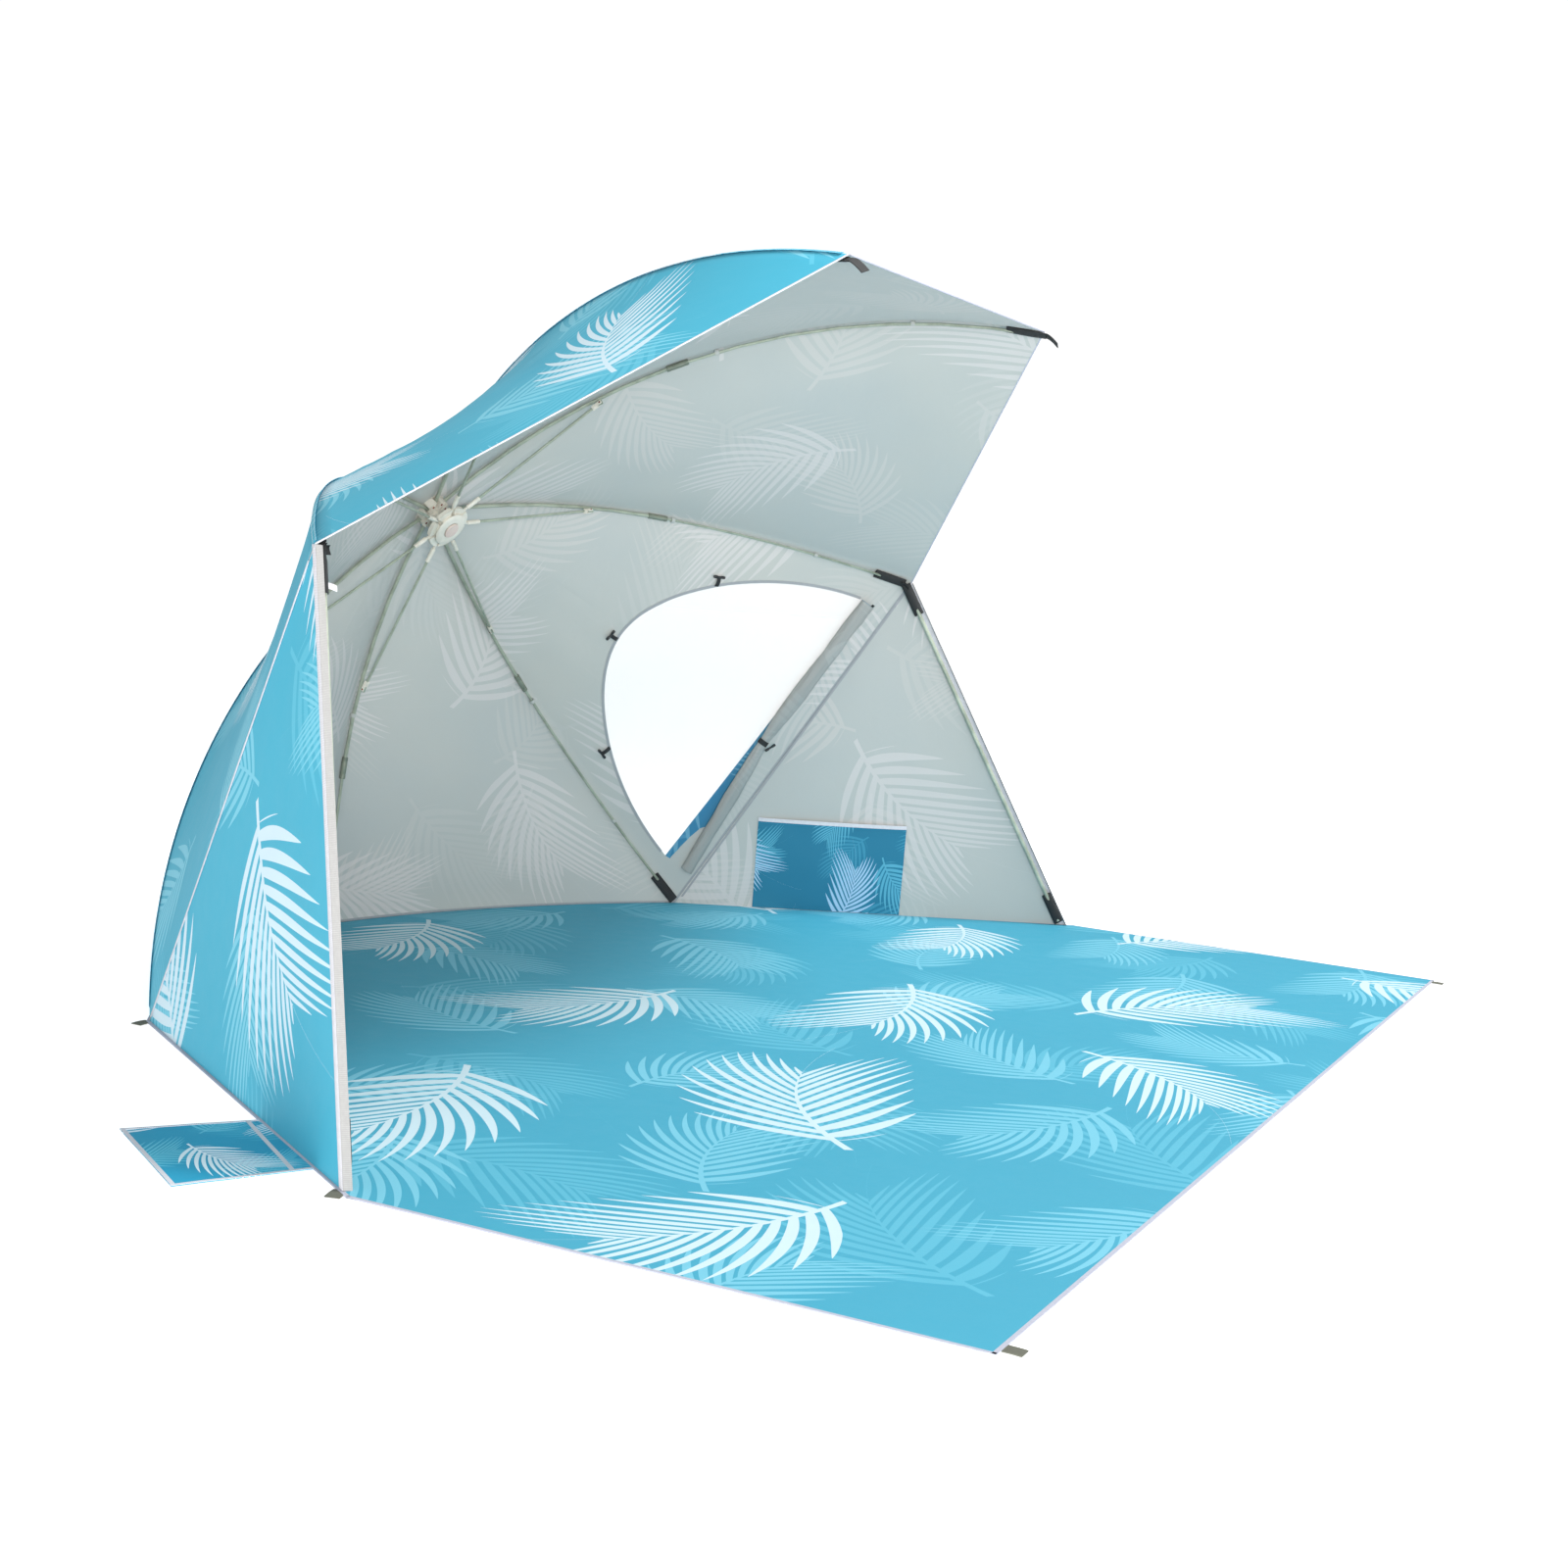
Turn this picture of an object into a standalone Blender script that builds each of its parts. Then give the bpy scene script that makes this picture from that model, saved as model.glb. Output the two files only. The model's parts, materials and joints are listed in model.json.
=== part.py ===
"""Beach tent: a tilted seven-rib umbrella frame on two front poles, with a sewn canopy and floor.

Metres, +Z up. The origin is on the ground under the floor sheet, 0.45 m behind the line of the
pole feet. +X is to the right for someone who faces the opening, and the opening faces -Y.
"""
import bpy
import bmesh
from math import atan2, cos, pi, radians, sin
from mathutils import Matrix, Vector

# Driving dimensions: the tent's outline
POLE_HALF_SPAN = 1.200          # half the distance between the two pole feet
POLE_LINE_Y = -0.450            # the line through both pole feet
CORNER_X = 0.762                # back corners, where two ribs reach the ground
CORNER_Y = 0.272
BACK_TIP_Y = 0.594              # the middle rib's ground tip
BACK_BOW = 0.058                # how far the back hem bows out between two ground tips
ELBOW_X = 0.930                 # elbows, where a rib meets a front pole
ELBOW_Y = -0.145
ELBOW_Z = 0.721
BROW_X = 0.395                  # free tips over the opening
BROW_Y = -0.608
BROW_Z = 1.168
CROWN_Y = 0.386                 # hinge level of the crown, on the umbrella's axis
CROWN_Z = 0.792
CROWN_TILT = radians(54.8)      # the umbrella's axis leans back from the vertical
APRON_LINE_Y = -0.475           # where the floor ends and its apron begins
APRON_CORNER_X = 1.213          # front corners of the apron
APRON_CORNER_Y = -1.247

# Driving dimensions: ribs and stretchers
RIB_BEND_RADIUS = 1.190         # the bend of a rib's inner rod
RIB_START_SLOPE = radians(3.0)
RIB_INNER_LENGTH = 0.540        # from the umbrella's axis to the ferrule's mouth
RIB_INNER_RADIUS = 0.0035
RIB_OUTER_RADIUS = 0.0027
RIB_JOINT_ARC = 0.364           # from the axis along the rib to the stretcher's lug
HINGE_RADIUS = 0.024            # circle of the crown's hinge pins
RIB_HEEL = 0.006                # rib length behind its hinge pin
FERRULE_LENGTH = 0.040
FERRULE_RADIUS = 0.0050
FERRULE_DEPTH = 0.030
FERRULE_STEP = 0.0005
STRETCHER_RADIUS = 0.0021
PIN_RADIUS = 0.0010
RUN_GAP = 0.00025               # running clearance round a pin
SEAM_GAP = 0.0003               # gap between neighbouring solids that touch on the real tent
OVERRUN = 0.002                 # how far a cutter runs past what it cuts

# Driving dimensions: cloth and webbing
CLOTH = 0.0020                  # thickness of the canopy, walls and floor
CLOTH_OFFSET = 0.0065           # from a rib's centre line out to the cloth's inner face
CLOTH_SAG = 0.022               # how far the cloth dips between two ribs
FLOOR_MARGIN = 0.008            # floor beyond the outside of the walls
TIP_HEIGHT = 0.012              # height of the ribs' ground tips and the poles' feet
POCKET_WIDTH = 0.018            # webbing pocket that takes a rod's end
POCKET_THICK = 0.0088
POCKET_LENGTH = 0.062
POCKET_END = 0.004              # webbing past the rod's end
POLE_POCKET_THICK = 0.0124
POCKET_RIDGE = 0.0040           # half width of the pocket's narrow face, next to the cloth
POCKET_SHOULDER = 0.0010        # the full width ends this far below the rod's centre
BROW_TAB = 0.0100
KNUCKLE_REACH = 0.0120          # the knuckle's axis past each pocket's closed end
KNUCKLE_THICK = 0.0040
KNUCKLE_HALF = 0.0028           # half width of the middle tongue
KNUCKLE_OUTER = 0.0056          # outer edge of the side tongues

# Crown, runner and latch button
CROWN_RADIUS = 0.030
CROWN_HALF_HEIGHT = 0.008
CROWN_SLOT_HALF_WIDTH = 0.0040
CROWN_SLOT_INNER = 0.0145
WIRE_HALF_SIDE = 0.0070         # straight run of the hinge wire either side of each rib
POST_RADIUS = 0.0080
POST_DROP = 0.0370              # the latch post ends this far below the hinge level
CAP_RADIUS = 0.046
CAP_RISE = 0.0050
CAP_EDGE = 0.0016
RUNNER_DROP = 0.042             # level of the stretchers' inner ends, below the hinge level
RUNNER_PIVOT_RADIUS = 0.038
RUNNER_FLANGE_RADIUS = 0.043
RUNNER_FLANGE_HALF = 0.0040
RUNNER_RING_RADIUS = 0.032
RUNNER_FACE_DROP = 0.0505
RUNNER_BOSS_RADIUS = 0.013
RUNNER_BOSS_DROP = 0.0270
RUNNER_SLOT_HALF_WIDTH = 0.0034  # wide enough for a stretcher's sleeve
RUNNER_SLOT_INNER = 0.0240
BUTTON_RADIUS = 0.0120
BUTTON_RECESS_DROP = 0.0435
BUTTON_PROUD = 0.0015
BUTTON_TRAVEL = 0.0030
ROUND = 28                      # sides of a turned shape

# Stretcher fittings
LUG_THICK = 0.0030
LUG_LENGTH = 0.0100
LUG_DROP = 0.0085               # pin below the rib's centre line
LUG_EDGE = 0.0040               # lug past its pin
FORK_GAP = LUG_THICK + 2 * SEAM_GAP
FORK_EAR = 0.0020
FORK_HEIGHT = 0.0070
FORK_NOSE = 0.0035              # ears past the pin
FORK_THROAT = 0.0090            # slot's depth behind the pin
FORK_LENGTH = 0.0170
TONGUE_THICK = 0.0038
TONGUE_HEIGHT = 0.0050
TONGUE_LENGTH = 0.0140
TONGUE_NOSE = 0.0025
SLEEVE_RADIUS = 0.0031
SLEEVE_LENGTH = 0.0200

# Front poles
POLE_RADIUS = 0.0042
WALL_OFFSET = 0.008             # the side wall's foot, out from the pole's foot
ELBOW_RISE = 0.004              # the cloth rises this much more over an elbow's knuckle
ELBOW_RISE_SHARE = 0.2
WALL_BACK_TOP = 0.026           # the wall's front edge starts this far behind the elbow
WALL_BACK_FOOT = 0.014          # and ends this far behind the pole's foot
WALL_INSET = 0.003              # the wall's back corner stops this short of the canopy's
CLOTH_PAST = 0.017              # the cloth runs past an elbow rib's tip

# Window, its rolled flap, toggles, pocket, tabs and sand flaps
WINDOW_FIRST_SHARE = 0.060      # places across the panel, from the back corner rib to the elbow rib
WINDOW_LAST_SHARE = 0.915
WINDOW_EDGE_SHARE = 0.935       # straight edge, along the panel from crown to hem
WINDOW_CROWN_SHARE = 0.542      # top of the bow
WINDOW_BOW_POWER = 0.9          # below one makes the bow squarer than an ellipse
MESH_THICK = 0.0010
FLAP_RADIUS = 0.014
FLAP_GAP = 0.0017
TIE_WIDTH = 0.012
TIE_THICK = 0.0012
TOGGLE_RADIUS = 0.0035
TOGGLE_LENGTH = 0.026
STORAGE_FROM = 0.356            # inner pocket, along the wall's foot from its front end
STORAGE_TO = 0.677
STORAGE_HEIGHT = 0.198
STORAGE_DEPTH = 0.0100          # how far the pocket stands off the wall
STORAGE_CLOTH = 0.0015
STORAGE_SEAM = 0.0040           # sewn margin round its foot and sides
TAB_WIDTH = 0.022
TAB_LENGTH = 0.024
TAB_THICK = 0.0018
TAB_SEWN = 0.008                # how far a tab runs in over the sheet
TAB_SLANT_SHARE = 0.3
SAND_FROM_SHARE = 0.630         # along the wall's foot from the back corner to the pole
SAND_TO_SHARE = 0.875
SAND_REACH = 0.168
SAND_FLARE = 0.012
BINDING_WIDTH = 0.009
BINDING_THICK = 0.0012
FLAP_HEMWARD = 0.010
TOGGLE_LIFT = 0.0060            # toggle bar's axis from the binding
WINDOW_CUT_DEPTH = 0.120
PANEL_ACROSS = 8
PANEL_DOWN = 12
RIB_STEPS = 6
CLOTH_START_SHARE = 1.14        # of the crown's radius
CAP_SHOULDER_SHARE = 0.8        # of the cap's rise, half way out
HEM_LEAST_STEP = 4 * FLOOR_MARGIN
HEM_STEPS = 6
WINDOW_STEPS = 18
FLAP_STEPS = 8
STRAIGHT_SHARE = 0.86           # a rib's outer rod is straight from here to its end
SURFACE_STEP_SHARE = 0.01
WINDOW_MIDDLE_SHARES = (0.45, 0.75)
WINDOW_AIM_SHARES = (0.5, 0.7)
TOGGLE_SHARES = (0.245, 0.53, 0.80)   # along the window's bow

AXIS = Vector((0, sin(CROWN_TILT), cos(CROWN_TILT)))
DOWN_SLOPE = Vector((0, cos(CROWN_TILT), -sin(CROWN_TILT)))
CROWN = Vector((0, CROWN_Y, CROWN_Z))
FLOOR_TOP = CLOTH
SEAM_Z = FLOOR_TOP + SEAM_GAP

RIB_TIPS = (
    ("left_brow", Vector((-BROW_X, BROW_Y, BROW_Z))),
    ("left_elbow", Vector((-ELBOW_X, ELBOW_Y, ELBOW_Z))),
    ("left_corner", Vector((-CORNER_X, CORNER_Y, TIP_HEIGHT))),
    ("back", Vector((0, BACK_TIP_Y, TIP_HEIGHT))),
    ("right_corner", Vector((CORNER_X, CORNER_Y, TIP_HEIGHT))),
    ("right_elbow", Vector((ELBOW_X, ELBOW_Y, ELBOW_Z))),
    ("right_brow", Vector((BROW_X, BROW_Y, BROW_Z))),
)
GROUND_RIBS = ("left_corner", "back", "right_corner")
RIB_COUNT = len(RIB_TIPS)


# Scene, collections and materials
def clear_scene():
    for old in list(bpy.data.objects):
        bpy.data.objects.remove(old, do_unlink=True)


def new_collection(name):
    group = bpy.data.collections.new(name)
    bpy.context.scene.collection.children.link(group)
    return group


def material(name, colour, roughness, metallic=0.0):
    mat = bpy.data.materials.new(name)
    mat.use_nodes = True
    shader = mat.node_tree.nodes["Principled BSDF"]
    shader.inputs["Base Color"].default_value = (*colour, 1.0)
    shader.inputs["Roughness"].default_value = roughness
    shader.inputs["Metallic"].default_value = metallic
    return mat


clear_scene()
TENT = new_collection("beach_tent")
CUTTERS = new_collection("cutters")
PRINT_CLOTH = material("print_cloth", (0.09, 0.47, 0.65), 0.7)
DEEP_CLOTH = material("deep_cloth", (0.03, 0.35, 0.50), 0.7)
ROLL_CLOTH = material("roll_cloth", (0.42, 0.45, 0.45), 0.6)
NET = material("net", (0.90, 0.90, 0.89), 0.8)
ROD = material("rod", (0.55, 0.60, 0.50), 0.4, 0.3)
MOULDED = material("moulded", (0.80, 0.77, 0.68), 0.45)
BUTTON_PLASTIC = material("button_plastic", (0.75, 0.66, 0.60), 0.45)
WEBBING = material("webbing", (0.03, 0.03, 0.03), 0.85)
TAB_WEBBING = material("tab_webbing", (0.16, 0.17, 0.13), 0.85)


# Shapes
def link(obj, collection=None):
    (collection or TENT).objects.link(obj)
    return obj


def mesh_object(name, bm, mat=None, collection=None):
    """An object from a bmesh, with its faces pointing out."""
    bmesh.ops.recalc_face_normals(bm, faces=bm.faces)
    mesh = bpy.data.meshes.new(name)
    bm.to_mesh(mesh)
    bm.free()
    if mat:
        mesh.materials.append(mat)
    return link(bpy.data.objects.new(name, mesh), collection)


def as_cutter(obj):
    """A cutter or an operand: kept in its own collection and never rendered."""
    obj.hide_render = True
    obj.display_type = "WIRE"
    return obj


def box_mesh(bm, low, high):
    """A box between two corners, added to a bmesh."""
    low, high = Vector(low), Vector(high)
    size = high - low
    place = Matrix.Translation((low + high) / 2) @ Matrix.Diagonal((*size, 1))
    bmesh.ops.create_cube(bm, size=1, matrix=place)


def bore_radius(radius, gap):
    """The corner radius of an eight-sided bore that clears a rod by a gap."""
    return (radius + gap) / cos(pi / 8)


def drum_mesh(bm, radius, length, sides, matrix):
    """A closed cylinder along the matrix's Z axis, added to a bmesh."""
    bmesh.ops.create_cone(bm, cap_ends=True, segments=sides, radius1=radius, radius2=radius,
                          depth=length, matrix=matrix)


def turned(name, profile, mat):
    """A turned shape about the local Z axis, from a profile of radius and height, top to bottom."""
    mesh = bpy.data.meshes.new(name)
    edges = [(k, k + 1) for k in range(len(profile) - 1)]
    mesh.from_pydata([(radius, 0, height) for radius, height in profile], edges, [])
    mesh.materials.append(mat)
    obj = link(bpy.data.objects.new(name, mesh))
    screw = obj.modifiers.new("turn", "SCREW")
    screw.axis = "Z"
    screw.steps = ROUND
    screw.render_steps = ROUND
    screw.use_merge_vertices = True
    screw.merge_threshold = SEAM_GAP / 10
    return obj


def rod(name, points, radii, mat, resolution=2, collection=None, closed=False):
    """A rod along points, as a closed mesh: a poly curve with a bevel, then its caps are welded."""
    base = max(radii)
    curve = bpy.data.curves.new(name, "CURVE")
    curve.dimensions = "3D"
    curve.bevel_depth = base
    curve.bevel_resolution = resolution
    curve.use_fill_caps = True
    spline = curve.splines.new("POLY")
    spline.points.add(len(points) - 1)
    spline.use_cyclic_u = closed
    for point, place, radius in zip(spline.points, points, radii):
        point.co = (*place, 1)
        point.radius = radius / base
    shape = link(bpy.data.objects.new(name + "_curve", curve), CUTTERS)
    graph = bpy.context.evaluated_depsgraph_get()
    mesh = bpy.data.meshes.new_from_object(shape.evaluated_get(graph))
    bpy.data.objects.remove(shape)
    bm = bmesh.new()
    bm.from_mesh(mesh)
    bpy.data.meshes.remove(mesh)
    bmesh.ops.remove_doubles(bm, verts=bm.verts, dist=SEAM_GAP / 10)
    return mesh_object(name, bm, mat, collection)


def flat_sheet(name, outline, bottom, thickness, mat):
    """A flat sheet: a filled 2D curve, with its lower face at a given height."""
    curve = bpy.data.curves.new(name, "CURVE")
    curve.dimensions = "2D"
    curve.fill_mode = "BOTH"
    curve.extrude = thickness / 2
    spline = curve.splines.new("POLY")
    spline.points.add(len(outline) - 1)
    spline.use_cyclic_u = True
    for point, (x, y) in zip(spline.points, outline):
        point.co = (x, y, 0, 1)
    shape = link(bpy.data.objects.new(name + "_curve", curve), CUTTERS)
    graph = bpy.context.evaluated_depsgraph_get()
    mesh = bpy.data.meshes.new_from_object(shape.evaluated_get(graph))
    bpy.data.objects.remove(shape)
    bm = bmesh.new()
    bm.from_mesh(mesh)
    bpy.data.meshes.remove(mesh)
    bmesh.ops.remove_doubles(bm, verts=bm.verts, dist=SEAM_GAP / 10)
    bmesh.ops.translate(bm, verts=bm.verts, vec=(0, 0, bottom + thickness / 2))
    return mesh_object(name, bm, mat)


def boolean(obj, operand, operation, own=False):
    modifier = obj.modifiers.new(operation.lower(), "BOOLEAN")
    modifier.operation = operation
    modifier.solver = "EXACT"
    modifier.use_self = own
    modifier.object = operand


def solidify(obj, thickness, offset=1):
    modifier = obj.modifiers.new("cloth", "SOLIDIFY")
    modifier.thickness = thickness
    modifier.offset = offset
    modifier.use_even_offset = True


def baked(obj, name):
    """The evaluated mesh of a finished shape, to share between repeated objects."""
    graph = bpy.context.evaluated_depsgraph_get()
    mesh = bpy.data.meshes.new_from_object(obj.evaluated_get(graph))
    mesh.name = name
    return mesh


def empty(name, matrix, parent=None):
    """A pivot: its origin is on a joint's axis."""
    pivot = link(bpy.data.objects.new(name, None))
    pivot.empty_display_size = CROWN_RADIUS
    pivot.parent = parent
    pivot.matrix_local = matrix
    return pivot


def attach(obj, pivot):
    """Parent an object that was modelled in a pivot's own frame."""
    obj.parent = pivot
    return obj


def frame(origin, x_axis, z_axis):
    """A placement with the given X and Z directions."""
    x = Vector(x_axis).normalized()
    y = Vector(z_axis).cross(x).normalized()
    z = x.cross(y)
    matrix = Matrix((x, y, z)).transposed().to_4x4()
    matrix.translation = origin
    return matrix


# Rib geometry: in a rib's own frame X runs out from the axis and Z along the axis
class Rib:
    """One rib: its direction round the crown and its centre line from the axis to its tip."""

    def __init__(self, name, tip):
        self.name = name
        self.tip = tip
        self.ground = name in GROUND_RIBS
        chord = tip - CROWN
        self.drop = -chord.dot(AXIS)
        out = chord + AXIS * self.drop
        self.reach = out.length
        self.out = out.normalized()
        self.frame = frame(CROWN, self.out, AXIS)
        self.hinge_axis = AXIS.cross(self.out)
        bend, lean = arc_point(RIB_INNER_LENGTH)
        self.ferrule = bend
        end = Vector((self.reach, -self.drop))
        span = end - bend
        slope = atan2(-span.y, span.x) - lean
        knee = span.length / (2 * cos(slope))
        self.knee = bend + Vector((cos(lean), -sin(lean))) * knee
        self.end = end
        self.past = CLOTH_PAST if name.endswith("elbow") else 0

    def outer(self, share):
        """A point on the outer rod and its direction, by share of the way from ferrule to tip."""
        first = self.ferrule.lerp(self.knee, share)
        last = self.knee.lerp(self.end, share)
        return first.lerp(last, share), (last - first).normalized()

    def centre(self, share):
        """A point on the whole centre line and its direction, by share from the cloth's start."""
        inner = RIB_INNER_LENGTH - CLOTH_START
        rest = (self.end - self.ferrule).length
        length = share * (inner + rest + self.past)
        if length < inner:
            point, lean = arc_point(CLOTH_START + length)
            return point, Vector((cos(lean), -sin(lean)))
        point, along = self.outer(min((length - inner) / rest, 1))
        return point + along * max(length - inner - rest, 0), along

    def place(self, point):
        """From the rib's own plane to the tent's frame."""
        return self.frame @ Vector((point.x, 0, point.y))

    def ridge(self, share):
        """The cloth's inner face over the rib, and the way out from it."""
        point, along = self.centre(share)
        normal = Vector((-along.y, along.x))
        out = self.frame.to_3x3() @ Vector((normal.x, 0, normal.y))
        rise = ELBOW_RISE * max(0, (share - 1) / ELBOW_RISE_SHARE + 1) if self.past else 0
        place = self.place(point) + out * (CLOTH_OFFSET + rise)
        if self.ground and share >= 1:
            run = self.frame.to_3x3() @ Vector((along.x, 0, along.y))
            place = place + run * ((place.z - SEAM_Z) / -run.z)
        return place, out


def arc_point(length):
    """A point on the inner rod's arc and its slope, by length from the umbrella's axis.

    The arc passes through the hinge pin, which is at the crown's hinge level.
    """
    pin_lean = RIB_START_SLOPE + HINGE_RADIUS / RIB_BEND_RADIUS
    lean = RIB_START_SLOPE + length / RIB_BEND_RADIUS
    x = HINGE_RADIUS + RIB_BEND_RADIUS * (sin(lean) - sin(pin_lean))
    z = RIB_BEND_RADIUS * (cos(lean) - cos(pin_lean))
    return Vector((x, z)), lean


CLOTH_START = CROWN_RADIUS * CLOTH_START_SHARE
RIBS = {name: Rib(name, tip) for name, tip in RIB_TIPS}
ORDER = [name for name, tip in RIB_TIPS]
HINGE = Vector((HINGE_RADIUS, 0, 0))


# Crown, its pins and its cap
def radial_copies(bm, build):
    """Run build(bm, matrix) for each rib's direction, in the crown's own frame."""
    for name in ORDER:
        turn = crown_frame.inverted().to_3x3() @ RIBS[name].out
        build(bm, Matrix.Rotation(atan2(turn.y, turn.x), 4, "Z"))


crown_frame = frame(CROWN, -DOWN_SLOPE, AXIS)


def slot_cutter(name, inner, outer, half_width, low, high):
    bm = bmesh.new()

    def one(bm, turn):
        size = Vector((outer - inner, 2 * half_width, high - low))
        middle = Vector(((inner + outer) / 2, 0, (low + high) / 2))
        bmesh.ops.create_cube(bm, size=1, matrix=turn @ Matrix.Translation(middle)
                              @ Matrix.Diagonal((*size, 1)))
    radial_copies(bm, one)
    return as_cutter(mesh_object(name, bm, collection=CUTTERS))


def wire_ring(name, radius, mat, collection):
    """The hinge wire: straight through each rib, bent between the ribs."""
    points = []
    for rib_name in reversed(ORDER):
        way = crown_frame.inverted().to_3x3() @ RIBS[rib_name].out
        side = Vector((-way.y, way.x, 0))
        points += [way * HINGE_RADIUS - side * WIRE_HALF_SIDE, way * HINGE_RADIUS + side * WIRE_HALF_SIDE]
    return rod(name, points, [radius] * len(points), mat, 1, collection, True)


def make_crown():
    pivot = empty("crown_pivot", crown_frame)
    shape = turned("crown", [(0, CROWN_HALF_HEIGHT), (CROWN_RADIUS, CROWN_HALF_HEIGHT),
                             (CROWN_RADIUS, -CROWN_HALF_HEIGHT), (POST_RADIUS, -CROWN_HALF_HEIGHT),
                             (POST_RADIUS, -POST_DROP), (0, -POST_DROP)], MOULDED)
    slots = slot_cutter("crown_slots", CROWN_SLOT_INNER, CROWN_RADIUS + OVERRUN, CROWN_SLOT_HALF_WIDTH,
                        -CROWN_HALF_HEIGHT - OVERRUN, CROWN_HALF_HEIGHT + OVERRUN)
    groove = as_cutter(wire_ring("crown_groove", PIN_RADIUS + RUN_GAP, None, CUTTERS))
    wire = wire_ring("crown_wire", PIN_RADIUS, ROD, None)
    for piece in (shape, slots, groove, wire):
        attach(piece, pivot)
    boolean(shape, slots, "DIFFERENCE")
    boolean(shape, groove, "DIFFERENCE")
    cloth = max(crown_height(RIBS[name], CAP_RADIUS) for name in ORDER) + SEAM_GAP
    middle = max(CROWN_HALF_HEIGHT + SEAM_GAP, cloth)
    shoulder = middle + CAP_RISE * CAP_SHOULDER_SHARE
    cap = turned("crown_cap", [(0, middle + CAP_RISE), (CAP_RADIUS / 2, shoulder),
                               (CAP_RADIUS, cloth + CAP_EDGE), (CAP_RADIUS, cloth),
                               (CROWN_RADIUS + OVERRUN, middle), (0, middle)], MOULDED)
    attach(cap, pivot)
    return pivot


def crown_height(rib, radius):
    """Height of the cloth's outer face over a rib, above the hinge level, at a radius."""
    point, lean = arc_point(radius)
    return point.y + (CLOTH_OFFSET + CLOTH) * cos(lean)


# Ribs: an inner rod with a lug and a ferrule, an outer rod, and a webbing pocket on its end
def plane(point):
    """A point of a rib's plane, in the frame of the rib's hinge pin."""
    return Vector((point.x - HINGE_RADIUS, 0, point.y))


def make_inner_rod():
    start = HINGE_RADIUS - RIB_HEEL
    stop = RIB_INNER_LENGTH - FERRULE_LENGTH
    lengths = [start + (stop - start) * k / RIB_STEPS for k in range(RIB_STEPS + 1)]
    radii = [RIB_INNER_RADIUS] * len(lengths)
    lengths += [stop + FERRULE_STEP, RIB_INNER_LENGTH]
    radii += [FERRULE_RADIUS] * 2
    shape = rod("inner_rod", [plane(arc_point(s)[0]) for s in lengths], radii, ROD, 2, CUTTERS)

    joint, lean = arc_point(RIB_JOINT_ARC)
    along = Vector((cos(lean), 0, -sin(lean)))
    out = Vector((sin(lean), 0, cos(lean)))
    lug_frame = frame(plane(joint), along, out)
    bm = bmesh.new()
    box_mesh(bm, (-LUG_LENGTH / 2, -LUG_THICK / 2, -LUG_DROP - LUG_EDGE),
             (LUG_LENGTH / 2, LUG_THICK / 2, -RIB_INNER_RADIUS / 2))
    lug = as_cutter(mesh_object("lug", bm, collection=CUTTERS))
    lug.matrix_world = lug_frame
    boolean(shape, lug, "UNION")

    bm = bmesh.new()
    bore = bore_radius(PIN_RADIUS, RUN_GAP)
    across = Matrix.Rotation(pi / 2, 4, "X")
    drum_mesh(bm, bore, 2 * RIB_INNER_RADIUS + 2 * OVERRUN, 8, across)
    pin_place = lug_frame @ Matrix.Translation((0, 0, -LUG_DROP))
    drum_mesh(bm, bore, LUG_THICK + 2 * OVERRUN, 8, pin_place @ across)
    mouth, lean = arc_point(RIB_INNER_LENGTH)
    socket = frame(plane(mouth), Vector((cos(lean), 0, -sin(lean))), Vector((sin(lean), 0, cos(lean))))
    middle = (OVERRUN - FERRULE_DEPTH) / 2
    drum_mesh(bm, bore_radius(RIB_OUTER_RADIUS, SEAM_GAP), FERRULE_DEPTH + OVERRUN, 8,
              socket @ Matrix.Translation((middle, 0, 0)) @ Matrix.Rotation(pi / 2, 4, "Y"))
    cuts = as_cutter(mesh_object("inner_rod_cuts", bm, collection=CUTTERS))
    boolean(shape, cuts, "DIFFERENCE")
    as_cutter(shape)
    return baked(shape, "inner_rod")


def joint_plane():
    """The stretcher's pin on the rib and its inner end on the runner, in the hinge pin's frame."""
    joint, lean = arc_point(RIB_JOINT_ARC)
    outer = plane(joint) + Vector((-sin(lean), 0, -cos(lean))) * LUG_DROP
    inner = Vector((RUNNER_PIVOT_RADIUS - HINGE_RADIUS, 0, -RUNNER_DROP))
    return outer, inner


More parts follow.
